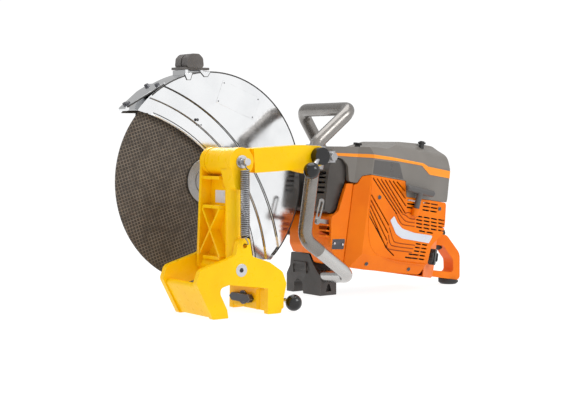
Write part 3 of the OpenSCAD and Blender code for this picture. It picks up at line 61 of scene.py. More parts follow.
NODE_SLOT = {part["node"]: part["material_slot"] for part in frame["record"]["subparts"]}

# ---- axes in mm: the pitched saw's and upright ones from the axle, upright ones from the floor ----
disc_lo, disc_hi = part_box("cutting_disc")
AXLE = (disc_lo + disc_hi) / 2
PITCH = math.radians(9)
SAW = Matrix.Translation(AXLE) @ Matrix.Rotation(PITCH, 4, "Y") @ Matrix.Scale(MM, 4)
HUB = Matrix.Translation(AXLE) @ Matrix.Scale(MM, 4)
FLOOR = Matrix.Translation((AXLE.x, AXLE.y, 0)) @ Matrix.Scale(MM, 4)
to_saw, to_hub, to_floor = SAW.inverted(), HUB.inverted(), FLOOR.inverted()


# ---- materials ----
class Shader:
    """One material's node tree, in the object's own metres."""

    WAVE_SCALE = math.pi / 10  # a wave texture of this scale has one band a metre
    MIX_A, MIX_B, MIX_RESULT = 6, 7, 2  # a Mix node's colour sockets

    def __init__(self, name, rough, metal=0.0, **fixed):
        self.mat = bpy.data.materials.new(name)
        self.mat.use_nodes = True
        self.tree = self.mat.node_tree
        self.bsdf = self.tree.nodes["Principled BSDF"]
        self.bsdf.inputs["Metallic"].default_value = metal
        self.bsdf.inputs["Roughness"].default_value = rough
        for socket, value in fixed.items():
            self.bsdf.inputs[socket.replace("_", " ")].default_value = value
        self.place = self.node("ShaderNodeTexCoord").outputs["Object"]

    def node(self, kind, **settings):
        made = self.tree.nodes.new(kind)
        for name, value in settings.items():
            setattr(made, name, value)
        return made

    def feed(self, socket, value):
        if isinstance(value, bpy.types.NodeSocket):
            self.tree.links.new(value, socket)
        else:
            socket.default_value = value

    def stretched(self, scale, turn=(0, 0, 0)):
        """Object place, turned and then scaled along each axis."""
        move = self.node("ShaderNodeMapping", vector_type="TEXTURE")
        move.inputs["Rotation"].default_value = turn
        self.feed(move.inputs["Vector"], self.place)
        scaled = self.node("ShaderNodeMapping")
        scaled.inputs["Scale"].default_value = scale
        self.feed(scaled.inputs["Vector"], move.outputs["Vector"])
        return scaled.outputs["Vector"]

    def noise(self, size, detail=3.0, rough=0.5, place=None):
        made = self.node("ShaderNodeTexNoise")
        self.feed(made.inputs["Vector"], place or self.place)
        made.inputs["Scale"].default_value = 1 / size
        made.inputs["Detail"].default_value = detail
        made.inputs["Roughness"].default_value = rough
        return made.outputs["Fac"]

    def waves(self, pitch, place=None, direction="X", wobble=0.0):
        """Parallel bands, one every pitch metres."""
        made = self.node("ShaderNodeTexWave", wave_profile="SIN", bands_direction=direction)
        self.feed(made.inputs["Vector"], place or self.place)
        made.inputs["Scale"].default_value = self.WAVE_SCALE / pitch
        made.inputs["Distortion"].default_value = wobble
        made.inputs["Detail Scale"].default_value = 3.0
        return made.outputs["Fac"]

    def cells(self, size, feature="F1"):
        made = self.node("ShaderNodeTexVoronoi", feature=feature)
        self.feed(made.inputs["Vector"], self.place)
        made.inputs["Scale"].default_value = 1 / size
        return made.outputs["Distance"]

    def maths(self, operation, a, b):
        made = self.node("ShaderNodeMath", operation=operation)
        self.feed(made.inputs[0], a)
        self.feed(made.inputs[1], b)
        return made.outputs[0]

    def span(self, value, low, high, out_low=0.0, out_high=1.0):
        """The value's stretch from low to high, eased onto the range that comes out."""
        made = self.node("ShaderNodeMapRange", interpolation_type="SMOOTHSTEP")
        for name, number in (("From Min", low), ("From Max", high),
                             ("To Min", out_low), ("To Max", out_high)):
            made.inputs[name].default_value = number
        self.feed(made.inputs["Value"], value)
        return made.outputs["Result"]

    def mix(self, fac, a, b):
        """Colour a where fac is 0, colour b where it is 1."""
        made = self.node("ShaderNodeMix", data_type="RGBA")
        self.feed(made.inputs["Factor"], fac)
        self.feed(made.inputs[self.MIX_A], a)
        self.feed(made.inputs[self.MIX_B], b)
        return made.outputs[self.MIX_RESULT]

    def edges(self, radius, patchy=0.01):
        """1 on edges: where a small bevel would turn the surface, broken up by noise. Most finishes
        use it for wear; the polished sheet uses it for a painted dark reflection.
        """
        even, turned = 0.995, 0.86
        bevel = self.node("ShaderNodeBevel", samples=4)
        bevel.inputs["Radius"].default_value = radius
        flat = self.node("ShaderNodeNewGeometry")
        dot = self.node("ShaderNodeVectorMath", operation="DOT_PRODUCT")
        self.feed(dot.inputs[0], bevel.outputs["Normal"])
        self.feed(dot.inputs[1], flat.outputs["Normal"])
        sharp = self.span(dot.outputs["Value"], even, turned)
        return self.maths("MULTIPLY", sharp, self.span(self.noise(patchy, 4), 0.42, 0.6))

    def bump(self, *layers):
        """Stacks (height, distance) layers into the surface normal."""
        normal = None
        for height, distance in layers:
            made = self.node("ShaderNodeBump")
            made.inputs["Distance"].default_value = distance
            self.feed(made.inputs["Height"], height)
            if normal is not None:
                self.feed(made.inputs["Normal"], normal)
            normal = made.outputs["Normal"]
        self.feed(self.bsdf.inputs["Normal"], normal)

    def finish(self, colour, rough):
        """Feeds the last two sockets and gives the material."""
        self.feed(self.bsdf.inputs["Base Color"], colour)
        self.feed(self.bsdf.inputs["Roughness"], rough)
        return self.mat


def rgb(r, g, b):
    """Linear colour from an everyday (sRGB) one of 0 to 255."""
    return tuple(((c / 255 + 0.055) / 1.055) ** 2.4 if c > 10 else c / 255 / 12.92
                 for c in (r, g, b)) + (1.0,)


def grey(level):
    """A linear grey, 0 to 1."""
    return (level, level, level, 1.0)


def moulded(name, colour, shade, worn, rough, grain, depth, coat=0.0, gloss=0.5):
    """Moulded plastic: fine pebbled grain, slow colour drift, scuffs and paler worn edges."""
    s = Shader(name, rough, Coat_Weight=coat, Coat_Roughness=0.18, Specular_IOR_Level=gloss)
    drift = s.span(s.noise(0.09, 3), 0.3, 0.7)
    body = s.mix(drift, colour, shade)
    scuff = s.span(s.noise(0.004, 5, 0.65, s.stretched((1.0, 1.0, 0.12), (0.3, 0.5, 0.2))),
                   0.62, 0.78)
    body = s.mix(s.maths("MULTIPLY", scuff, 0.35), body, worn)
    body = s.mix(s.edges(0.8 * MM), body, worn)
    pebble = s.cells(grain, "SMOOTH_F1")
    s.bump((s.noise(0.03, 2), 0.12 * MM), (pebble, depth), (scuff, -0.01 * MM))
    return s.finish(body, s.span(s.noise(0.018, 4), 0.25, 0.75, rough - 0.06, rough + 0.1))


def coated(name, colour, shade, worn, rough, peel=2.2 * MM, depth=0.05 * MM, metal=0.0,
           coat=0.0, gloss=0.5):
    """Powder coat or paint over a casting or tube: orange peel, dusty drift, chipped edges."""
    s = Shader(name, rough, metal, Coat_Weight=coat, Coat_Roughness=0.12, Specular_IOR_Level=gloss)
    drift = s.span(s.noise(0.07, 4), 0.28, 0.72)
    body = s.mix(drift, colour, shade)
    dust = s.span(s.noise(0.006, 6, 0.7), 0.6, 0.8)
    body = s.mix(s.maths("MULTIPLY", dust, 0.25), body, worn)
    body = s.mix(s.edges(0.9 * MM, 0.007), body, worn)
    s.bump((s.noise(0.022, 2), 0.15 * MM), (s.noise(peel, 2), depth))
    return s.finish(body, s.span(s.noise(0.014, 4), 0.3, 0.7, rough - 0.05, rough + 0.1))


RUBBED = (0.9, 0.9, 0.92, 1)


def bare_metal(name, colour, shade, rough, lay=(1.0, 0.06, 1.0), depth=0.008 * MM, stain=0.3):
    """Bare metal with a brushed or turned lay, faint stains and rubbed edges."""
    s = Shader(name, rough, 1.0)
    lines = s.noise(0.0012, 4, 0.6, s.stretched(lay))
    stains = s.span(s.noise(0.03, 5, 0.6), 0.42, 0.75)
    body = s.mix(s.maths("MULTIPLY", stains, stain), colour, shade)
    body = s.mix(s.edges(0.6 * MM), body, RUBBED)
    s.bump((lines, depth), (s.noise(0.02, 2), 0.03 * MM))
    return s.finish(body, s.span(lines, 0.3, 0.7, rough - 0.05, rough + 0.12))


def disc_material():
    """Resin disc: pressed-in square mesh, lighter on the threads, with coarse grit between."""
    s = Shader("resin_disc", 0.75)
    pitch, lay, wobble = 6.3 * MM, -0.3, 0.15
    cross = [s.span(s.waves(pitch, s.stretched((1, 1, 1), (0, turn, 0)), "X", wobble), 0.8, 1.0)
             for turn in (lay, lay + math.pi / 2)]
    mesh = s.maths("MAXIMUM", *cross)
    grit = s.noise(0.0011, 4, 0.7)
    patches = s.span(s.noise(0.045, 4), 0.3, 0.72)
    resin = s.mix(patches, rgb(60, 53, 47), rgb(46, 41, 37))
    resin = s.mix(s.span(grit, 0.35, 0.75), resin, rgb(72, 64, 57))
    show = s.maths("MULTIPLY", mesh, s.span(s.noise(0.02, 3), 0.25, 0.65, 0.35, 0.9))
    body = s.mix(show, resin, rgb(134, 122, 108))
    s.bump((mesh, 0.25 * MM), (grit, 0.18 * MM))
    return s.finish(body, s.span(grit, 0.3, 0.7, 0.62, 0.85))


def rubber_material(name, colour, worn, ribs=None):
    """Rubber: soft bloom and fine pores, with ridges where ribs gives their axis and pitch."""
    s = Shader(name, 0.62)
    bloom = s.span(s.noise(0.02, 5, 0.6), 0.35, 0.75)
    body = s.mix(s.maths("MULTIPLY", bloom, 0.5), colour, worn)
    body = s.mix(s.edges(1.0 * MM), body, worn)
    pores = s.cells(0.0011)
    layers = [(s.noise(0.012, 2), 0.1 * MM), (pores, 0.05 * MM)]
    if ribs:
        axis, pitch = ribs
        layers.insert(0, (s.waves(pitch, None, axis), 0.35 * MM))
    s.bump(*layers)
    return s.finish(body, s.span(s.noise(0.01, 4), 0.3, 0.7, 0.5, 0.75))


def chrome_material(name, colour, rough, haze):
    """Polished sheet: almost a mirror, with rolling waviness, haze, hairline scratches and a painted
    dark reflection along its edges.
    """
    s = Shader(name, rough, 1.0)
    clouds = s.span(s.noise(0.05, 4), 0.35, 0.75)
    hair = s.span(s.noise(0.0012, 5, 0.7, s.stretched((1.0, 1.0, 0.05), (0.2, 0.7, 0))), 0.62, 0.8)
    body = s.mix(s.maths("MULTIPLY", clouds, 0.35), colour, haze)
    # painted reflection: edges turn grey as if the bending sheet mirrored dark surroundings
    body = s.mix(s.edges(0.7 * MM), body, rgb(120, 118, 116))
    s.bump((s.noise(0.09, 2), 0.35 * MM), (hair, -0.004 * MM))
    return s.finish(body, s.span(clouds, 0.0, 1.0, rough, rough + 0.07))


MATERIALS = {
    "disc": disc_material(),
    "steel": bare_metal("bare_steel", rgb(196, 196, 199), rgb(146, 142, 136), 0.26),
    "dark_steel": bare_metal("oxide_steel", rgb(88, 88, 92), rgb(52, 50, 48), 0.38),
    "alloy": bare_metal("cast_alloy", rgb(160, 160, 162), rgb(120, 118, 115), 0.42,
                        (1, 1, 1), 0.05 * MM),
    "polished": chrome_material("polished_sheet", rgb(231, 232, 233), 0.1, rgb(206, 208, 211)),
    "bare_tube": bare_metal("bare_tube", rgb(190, 189, 187), rgb(150, 147, 143), 0.2,
                            (0.08, 1.0, 0.08), 0.003 * MM, 0.15),
    "grey_tube": coated("grey_tube", rgb(136, 132, 128), rgb(120, 116, 112), rgb(180, 176, 171),
                        0.24, 2.6 * MM, 0.012 * MM, 0.75, 0.3),
    "orange": moulded("orange_plastic", rgb(243, 124, 0), rgb(233, 111, 0), rgb(252, 164, 66),
                      0.34, 1.0 * MM, 0.02 * MM, 0.0, 0.22),
    "dark_cover": moulded("dark_cover", rgb(120, 115, 109), rgb(110, 105, 99), rgb(158, 154, 148),
                          0.34, 1.1 * MM, 0.03 * MM, 0.25),
    "black": moulded("black_plastic", rgb(40, 39, 39), rgb(30, 29, 29), rgb(88, 86, 84),
                     0.42, 0.9 * MM, 0.02 * MM),
    "gloss_black": moulded("gloss_black", rgb(14, 14, 15), rgb(9, 9, 10), rgb(34, 34, 36),
                           0.14, 6.0 * MM, 0.01 * MM),
    "rubber": rubber_material("black_rubber", rgb(38, 37, 37), rgb(66, 64, 62)),
    "grip": rubber_material("grip_rubber", rgb(84, 80, 78), rgb(118, 114, 110), ("X", 4 * MM)),
    "cast_grey": coated("cast_grey", rgb(76, 72, 70), rgb(60, 57, 55), rgb(132, 128, 124),
                        0.36, 1.4 * MM, 0.12 * MM, 0.25),
    "yellow": coated("yellow_coat", rgb(255, 206, 0), rgb(252, 194, 0), rgb(255, 222, 80),
                     0.3, 2.4 * MM, 0.05 * MM, 0.0, 0.0, 0.22),
    "grey_plastic": moulded("grey_plastic", rgb(86, 84, 83), rgb(74, 72, 71),
                            rgb(140, 138, 136), 0.4, 0.9 * MM, 0.02 * MM),
}
# finishes of single pieces, apart from their slots
# darker orange for the starter cover's ribs: painted shade along them
GROOVE_SHADE = moulded("cover_groove_shade", rgb(160, 70, 4), rgb(136, 56, 2), rgb(200, 104, 30), 0.45,
                 1.0 * MM, 0.02 * MM, 0.0, 0.2)
STRIPE = moulded("stripe_plastic", rgb(252, 152, 14), rgb(246, 140, 8), rgb(255, 186, 96), 0.34,
                 1.0 * MM, 0.02 * MM, 0.15)
# dark and mid-grey finishes for lines on the polished guard (rim, folds, hems, tab edges): painted
# shadow where the sheet turns or folds
FOLD_SHADOW = coated("fold_shadow", rgb(44, 42, 41), rgb(30, 29, 28), rgb(110, 108, 105), 0.35,
              1.5 * MM, 0.02 * MM)
FOLD_HALF_SHADOW = coated("fold_half_shadow", rgb(120, 116, 112), rgb(96, 92, 88), rgb(170, 166, 160), 0.3,
                  1.5 * MM, 0.02 * MM)
COIL = bare_metal("coil_wire", rgb(150, 150, 153), rgb(96, 94, 92), 0.32)
LOOP = bare_metal("loop_metal", rgb(150, 148, 146), rgb(104, 100, 96), 0.3)
EXHAUST = coated("exhaust_shield", rgb(78, 73, 69), rgb(60, 56, 53), rgb(128, 122, 116), 0.34,
                 2.0 * MM, 0.04 * MM, 0.2)
LABEL = coated("bare_label", rgb(214, 218, 226), rgb(200, 205, 216), rgb(236, 238, 242), 0.3,
               1.5 * MM, 0.01 * MM)
PANEL = moulded("panel_film", rgb(84, 81, 79), rgb(76, 73, 71), rgb(120, 117, 114), 0.3,
                1.4 * MM, 0.01 * MM, 0.2)
# a near-black ribbed sheet of painted shade, put inside the starter cover's vents and in the pivot
# bolt's socket
SHADE_SHEET = rubber_material("shade_sheet", rgb(24, 22, 26), rgb(40, 36, 40), ("Z", 3 * MM))


# ---- pieces ----
SOLID_SMOOTH, PLATE_SMOOTH, ROUND_SMOOTH = 30, 32, 60  # degrees under which faces shade as one
USUAL_ROUND = (2, 28)  # a rounded edge's segments, and the least angle in degrees that is rounded
CREASE_ROUND = (4, 7)  # for the top cover's shallow creases
SAME_SPOT = 2e-6
SAME_PLANE = math.radians(0.6)


def dress(piece, body, slot, material=None):
    """Puts a finished piece on its body, with its slot's finish or one of its own."""
    piece.data.materials.clear()
    piece.data.materials.append(material or MATERIALS[slot])
    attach(piece, body)
    return piece


def new_piece(name, bm, smooth_angle):
    """The mesh as an object, smooth where its faces meet at less than the angle in degrees."""
    mesh = bpy.data.meshes.new(name)
    bmesh.ops.recalc_face_normals(bm, faces=bm.faces)
    bm.to_mesh(mesh)
    bm.free()
    mesh.shade_smooth()
    mesh.set_sharp_from_angle(angle=math.radians(smooth_angle))
    piece = bpy.data.objects.new(name, mesh)
    bpy.context.scene.collection.objects.link(piece)
    return piece


def rounded(piece, width, segments, angle):
    """Rounds a piece's sharp edges for good, keeping its flat faces flat in the light."""
    bevel = piece.modifiers.new("round", "BEVEL")
    bevel.width = width
    bevel.segments = segments
    bevel.limit_method = "ANGLE"
    bevel.angle_limit = math.radians(angle)
    bevel.harden_normals = True
    bevel.miter_outer = "MITER_ARC"
    shown = piece.evaluated_get(bpy.context.evaluated_depsgraph_get())
    mesh = bpy.data.meshes.new_from_object(shown)
    mesh.name = piece.name
    piece.modifiers.clear()
    piece.data = mesh
    return piece


def soften(node, width, segments, angle):
    """Stands in for a CAD node: the same solid with its sharp edges rounded."""
    bm = bmesh.new()
    bm.from_mesh(frame["nodes"][node].data)
    bmesh.ops.remove_doubles(bm, verts=bm.verts, dist=SAME_SPOT)
    bmesh.ops.dissolve_limit(bm, angle_limit=SAME_PLANE, verts=bm.verts, edges=bm.edges)
    piece = rounded(new_piece(node + "_dressed", bm, SOLID_SMOOTH), width, segments, angle)
    dress(piece, NODE_BODY[node], NODE_SLOT[node])
    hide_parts(node)
    return piece


def take_off(node, name, slot, inside, material=None):
    """Parts off the softened node's faces whose middle passes the test, for their own finish."""
    piece = SOFTENED[node]
    twin = bpy.data.objects.new(name, piece.data.copy())
    bpy.context.scene.collection.objects.link(twin)
    for part, wanted in ((twin, True), (piece, False)):
        bm = bmesh.new()
        bm.from_mesh(part.data)
        spare = [face for face in bm.faces if inside(face.calc_center_median()) != wanted]
        bmesh.ops.delete(bm, geom=spare, context="FACES")
        bm.to_mesh(part.data)
        bm.free()
    dress(twin, NODE_BODY[node], slot, material)
    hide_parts(node)


def plate(name, axes, outline, y0, y1, body, slot, material=None, edge=0.25):
    """A flat plate: an XZ outline in the given axes (mm), from y0 to y1."""
    bm = bmesh.new()
    rings = [[bm.verts.new(axes @ Vector((x, y, z))) for x, z in outline] for y in (y0, y1)]
    bm.faces.new(rings[0])
    bm.faces.new(rings[1][::-1])
    for i in range(len(outline)):
        j = (i + 1) % len(outline)
        bm.faces.new((rings[0][i], rings[1][i], rings[1][j], rings[0][j]))
    piece = rounded(new_piece(name, bm, PLATE_SMOOTH), edge * MM, *USUAL_ROUND)
    return dress(piece, body, slot, material)


def smooth_path(points, steps):
    """Catmull-Rom curve through the points, with so many steps from one to the next."""
    pts = [2 * points[0] - points[1], *points, 2 * points[-1] - points[-2]]
    path = []
    for a, b, c, d in zip(pts, pts[1:], pts[2:], pts[3:]):
        for i in range(steps):
            t = i / steps
            path.append(0.5 * (2 * b + (c - a) * t + (2 * a - 5 * b + 4 * c - d) * t * t
                               + (3 * b - a - 3 * c + d) * t ** 3))
    return path + [points[-1]]


def rod(name, axes, path, radius, body, slot, material=None, sides=8):
    """A round rod along a path in the given axes (mm), with domed ends."""
    bm = bmesh.new()
    steep = abs((path[1] - path[0]).normalized().y) >= 0.9
    turned = Vector((1, 0, 0)) if steep else Vector((0, 1, 0))
    rings = []
    last = len(path) - 1
    for i, point in enumerate(path):
        along = (path[min(i + 1, last)] - path[max(i - 1, 0)]).normalized()
        turned = (turned - along * turned.dot(along)).normalized()
        side = along.cross(turned)
        rings.append([bm.verts.new(axes @ (point + radius * (math.cos(a) * turned
                                                             + math.sin(a) * side)))
                      for a in (2 * math.pi * k / sides for k in range(sides))])
    for low, high in zip(rings, rings[1:]):
        for k in range(sides):
            bm.faces.new((low[k], low[(k + 1) % sides], high[(k + 1) % sides], high[k]))
    for ring, point, beyond in ((rings[0], path[0], path[0] - path[1]),
                                (rings[-1], path[-1], path[-1] - path[-2])):
        tip = bm.verts.new(axes @ (point + beyond.normalized() * radius * 0.6))
        for k in range(sides):
            bm.faces.new((ring[k], ring[(k + 1) % sides], tip))
    return dress(new_piece(name, bm, ROUND_SMOOTH), body, slot, material)


def dome(name, axes, centre, radius, height, body, slot):
    """A low rivet head standing on a face of the starter side, in the given axes (mm)."""
    out = Vector((0, -1, 0))
    side = out.orthogonal().normalized()
    up = out.cross(side)
    bm = bmesh.new()
    count, levels = 20, 5
    rings = []
    for level in range(levels):
        a = math.pi / 2 * level / levels
        r, h = radius * math.cos(a), height * math.sin(a)
        rings.append([bm.verts.new(axes @ (centre + out * h + r * (
            math.cos(2 * math.pi * k / count) * side + math.sin(2 * math.pi * k / count) * up)))
            for k in range(count)])
    for low, high in zip(rings, rings[1:]):
        for k in range(count):
            bm.faces.new((low[k], low[(k + 1) % count], high[(k + 1) % count], high[k]))
    tip = bm.verts.new(axes @ (centre + out * height))
    for k in range(count):
        bm.faces.new((rings[-1][k], rings[-1][(k + 1) % count], tip))
    bm.faces.new(rings[0][::-1])
    return dress(new_piece(name, bm, ROUND_SMOOTH), body, slot)


def arc(centre, radius, start, end, y, step):
    """Points of an arc in the XZ plane, at about every step, in degrees from +X towards +Z."""
    count = max(2, int(abs(end - start) / step) + 1)
    return [Vector((centre[0] + radius * math.cos(a), y, centre[1] + radius * math.sin(a)))
            for a in (math.radians(start + (end - start) * i / (count - 1)) for i in range(count))]


# ---- CAD solids with their edges rounded (mm) ----
SOFT_EDGES = {
    "starter_housing": 1.1, "top_cover": 4.0, "front_panel": 1.0, "fuel_tank": 1.0,
    "rear_handle": 2.6, "belt_cover": 1.4, "front_stand": 1.6, "rail_clamp": 1.3,
    "upright_arm": 0.9, "upper_arm": 1.2, "arm_mount": 0.9, "muffler": 1.0,
    "cutting_arm": 1.2, "starter_handle": 0.8, "guard_handle": 1.2, "throttle_trigger": 1.2,
    "throttle_lock": 1.2, "fuel_cap": 0.7, "rear_foot": 1.4, "choke_knob": 1.0,
    "decompression_button": 0.7, "stop_switch": 0.8, "cover_latch": 0.7, "clamp_shoe": 0.9,
    "outer_flange": 0.9, "inner_flange": 0.9, "blade_bolt": 0.6, "upper_pivot_bolt": 0.7,
    "lower_pivot_bolt": 0.6, "muffler_bracket": 0.4, "starter_trim": 0.35, "blank_plate": 0.35,
    "guard_visor": 0.5, "lock_lever": 0.8, "crankcase": 1.0, "clamp_screw": 0.6,
}
SOFTENED = {node: soften(node, width * MM, *(CREASE_ROUND if node == "top_cover" else USUAL_ROUND))
            for node, width in SOFT_EDGES.items()}

# ---- pieces of two finishes: ball levers, visor bolts, the upright's bare label ----
BALL_R = 15.5 * MM
SCREW_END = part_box("clamp_screw")[0]
take_off("clamp_screw", "clamp_screw_ball", "gloss_black",
         lambda spot: spot.y < SCREW_END.y + 1.97 * BALL_R)
LEVER_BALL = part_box("lock_lever")[0] + Vector((BALL_R, BALL_R, BALL_R))
# the lever's bare rod is outside its ball and in front of its hub
take_off("lock_lever", "lock_lever_rod", "steel",
         lambda spot: (spot - LEVER_BALL).length > 1.03 * BALL_R
         and spot.y < LEVER_BALL.y + 0.9 * BALL_R)
VISOR_TIP = Vector((-187.0, 0, 139.1))  # HUB axes
VISOR_LEAN = math.radians(29.4)
VISOR_ALONG = Vector((math.cos(VISOR_LEAN), 0, math.sin(VISOR_LEAN)))
VISOR_OUT = Vector((-math.sin(VISOR_LEAN), 0, math.cos(VISOR_LEAN)))
VISOR_SHEET = 3.3
HEM_R, HEM_RISE, HEM_END = 1.5, 1.6, 92
take_off("guard_visor", "visor_bolts", "dark_steel",
         lambda spot: (to_hub @ spot - VISOR_TIP).dot(VISOR_OUT) > VISOR_SHEET)
# dark hem lines along the visor's edges: painted shadow
for side, y, low in (("near", -23.3, 1.5), ("far", 35.5, 66)):
    hem = VISOR_TIP + VISOR_OUT * HEM_RISE + Vector((0, y, 0))
    rod("visor_hem_" + side, HUB,
        [hem + VISOR_ALONG * t for t in (low, low + 6, HEM_END - 6, HEM_END)],
        HEM_R, "guard", "polished", FOLD_SHADOW)
for node, finish in (("starter_trim", LABEL), ("muffler_bracket", LOOP), ("outer_flange", LOOP),
                     ("muffler", EXHAUST)):
    SOFTENED[node].data.materials[0] = finish
PIVOT = to_floor @ (sum(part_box("upper_pivot_bolt"), Vector()) / 2)
LABEL_X = PIVOT.x - 3.8  # the face that the label lies on
LABEL_LOW, LABEL_TOP = 200, 245
take_off("upright_arm", "upright_label", "polished",
         lambda spot: abs((to_floor @ spot).x - LABEL_X) < 0.3
         and LABEL_LOW < (to_floor @ spot).z < LABEL_TOP, LABEL)

# ---- cutting arm: the guard turns on its hub, so the dressed hub is slimmer than the bore ----
HUB_R = 36
SLIM_R = HUB_R - 0.8
for vertex in SOFTENED["cutting_arm"].data.vertices:
    place = to_hub @ vertex.co
    reach = math.hypot(place.x, place.z)
    if SLIM_R < reach < HUB_R + 0.2:
        slim = SLIM_R / reach
        vertex.co = HUB @ Vector((place.x * slim, place.y, place.z * slim))

# ---- tension spring: wound wire, from the pivot's eye to the hook in the clamp's tab ----
SPRING_X, SPRING_Y = PIVOT.x, -216.5
WIRE_R = 1.25
WIRE_SIDES = 7
COIL_R = 7.7
COIL_LOW, COIL_TOP = 148.5, 266.5
TURNS, PER_TURN = 35, 18
EYE_Z = 281.28
EYE_R = 5.9
EYE_POINTS = 24
coil_foot = Vector((SPRING_X, SPRING_Y, 0))
coil = [coil_foot + Vector((COIL_R * math.cos(2 * math.pi * i / PER_TURN),
                            COIL_R * math.sin(2 * math.pi * i / PER_TURN),
                            COIL_LOW + (COIL_TOP - COIL_LOW) * i / (TURNS * PER_TURN)))
        for i in range(TURNS * PER_TURN + 1)]
hook = smooth_path([Vector((-47, -197, 133.5)), Vector((-47, -201, 131.9)),
                    Vector((-47, -209, 131.9)), Vector((-47.6, -215.5, 133.4)),
                    Vector((-50, SPRING_Y, 139)), Vector((-54, SPRING_Y, 145)), coil[0]], 5)
eye = [Vector((SPRING_X + EYE_R * math.sin(a), SPRING_Y, EYE_Z - EYE_R * math.cos(a)))
       for a in (2 * math.pi * i / EYE_POINTS for i in range(EYE_POINTS))]
rise = smooth_path([coil[-1], Vector((SPRING_X + 3, SPRING_Y - 0.5, COIL_TOP + 3)), eye[0]], 5)
spring = rod("tension_spring_wire", FLOOR, hook[:-1] + coil + rise[1:-1] + eye, WIRE_R,
             "upright", NODE_SLOT["tension_spring"], COIL, WIRE_SIDES)
# dress() put the wire on the upright, so it is taken off again to ride on no single body
spring.parent = None
spring.matrix_world = Matrix.Identity(4)
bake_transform(spring)
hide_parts("tension_spring")

# ---- lower pivot: a dark plate in the bolt head's socket, painted shade in the recess ----
head_lo, head_hi = (to_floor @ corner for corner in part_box("lower_pivot_bolt"))
head_x, head_z = (head_lo.x + head_hi.x) / 2, (head_lo.z + head_hi.z) / 2
SOCKET_R = 4.4
hexagon = [(head_x + SOCKET_R * math.cos(a), head_z + SOCKET_R * math.sin(a))
           for a in (math.radians(60 * k) for k in range(6))]
plate("pivot_socket_shade", FLOOR, hexagon, head_lo.y + 0.6, head_lo.y + 1.2, "clamp", "dark_steel",
      SHADE_SHEET, 0.1)

# ---- guard: rolled rim and pressed folds drawn with lines of painted shadow, bare plate and its rivets, pins, grip tabs with painted shadow outlines ----
RIM_CENTRE, LIP_CENTRE = (0, 0), (-239.97, -199.98)
RIM_R = 211.4
FACE_Y, BACK_Y = -22.0, 35.2
SHEET_RISE = 0.35  # how far a bare plate or panel stands out
# a dark finish in this table is a line of painted shadow; none leaves the polished sheet
GUARD_LINES = (  # name, centre, radius, start and end in degrees, y, step, wire's radius, finish
    ("guard_rim_roll", RIM_CENTRE, RIM_R, 129, -46, FACE_Y + 0.6, 3, 1.6, FOLD_SHADOW),
    ("guard_rim_back", RIM_CENTRE, RIM_R, 127, -44, BACK_Y, 3, 1.5, FOLD_SHADOW),
    ("guard_fold_upper", LIP_CENTRE, 405.2, 70.5, 12, FACE_Y + 1.0, 1.5, 1.15, FOLD_SHADOW),
    ("guard_fold_lower", LIP_CENTRE, 375.2, 74, 10, FACE_Y + 5.0, 1.5, 1.1, FOLD_HALF_SHADOW),
    ("guard_lip_hem", LIP_CENTRE, 350.5, 71, 7, FACE_Y + 8.0, 1.5, 0.9, FOLD_SHADOW),
    ("guard_lip_bead", LIP_CENTRE, 346.4, 72, 7, FACE_Y + 8.4, 1.5, 1.3, None),
)
for name, centre, radius, start, end, y, step, wire_r, finish in GUARD_LINES:
    rod(name, HUB, arc(centre, radius, start, end, y, step), wire_r, "guard", "polished", finish)

BARE_MID = Vector((61.5, 0, 158))
BARE_U, BARE_V = Vector((0.934, 0, -0.357)), Vector((0.357, 0, 0.934))
BARE_HALF_U, BARE_HALF_V = 47, 23
RIVET_INSET = 4


def bare_corners(inset):
    """The bare plate's corners, moved inwards along both of its sides."""
    u, v = BARE_HALF_U - inset, BARE_HALF_V - inset
    return [BARE_MID + BARE_U * a + BARE_V * b for a, b in ((-u, -v), (u, -v), (u, v), (-u, v))]


plate("guard_bare_plate", HUB, [(spot.x, spot.z) for spot in bare_corners(0)],
      FACE_Y - SHEET_RISE, FACE_Y + 0.1, "guard", "polished", None, 0.12)
for index, spot in enumerate(bare_corners(RIVET_INSET)):
    dome("guard_rivet_%d" % index, HUB, Vector((spot.x, FACE_Y - 0.3, spot.z)), 1.5, 0.9,
         "guard", "dark_steel")
dome("guard_stop_pin", HUB, Vector((-33, FACE_Y, 119)), 3.0, 1.6, "guard", "dark_steel")
dome("guard_vent_pin", HUB, Vector((-25, FACE_Y, 109)), 1.6, 1.0, "guard", "dark_steel")
for tab, outline in (("front", [(-62, 206), (-57, 195), (-49, 195), (-44, 209.5)]),
                     ("rear", [(-27, 211), (-18, 202), (-10, 202), (-4, 212)])):
    plate("grip_tab_" + tab, HUB, outline, FACE_Y - 1.2, FACE_Y + 0.2, "guard", "polished")
    # a dark outline round the tab: painted shadow
    rod("grip_tab_edge_" + tab, HUB, [Vector((x, FACE_Y - 1.0, z)) for x, z in outline], 0.7,
        "guard", "polished", FOLD_SHADOW)

# ---- starter cover: a dark sheet inside the vents as painted shade, ribs round the silver strip in a darker orange as painted shade, seam ----
COVER_Y = -130.0
SHADE_SHEET_Y = COVER_Y + 8
SHADE_SHEET_OUTLINE = [(322, -100), (308, -40), (308, 46), (316, 52), (396, 52), (402, 20),
                  (518, 20), (518, -34), (488, -64), (482, -100)]
SEAM = [(311, 49), (312.5, 0), (316, -45), (324, -76), (338, -94), (357, -101.5), (400, -108),
        (484, -108)]
SEAM_R, RIB_R = 0.9, 0.95


def cover_line(name, points, steps, radius, finish=None):
    """A smooth line on the starter cover's face, through points given as (x, z)."""
    rod(name, SAW, smooth_path([Vector((x, COVER_Y, z)) for x, z in points], steps), radius,
        "saw_body", "orange", finish)


# a dark sheet behind the vents: painted shade inside them
plate("vent_shade_sheet", SAW, SHADE_SHEET_OUTLINE, SHADE_SHEET_Y, SHADE_SHEET_Y + 1, "saw_body", "black", SHADE_SHEET)
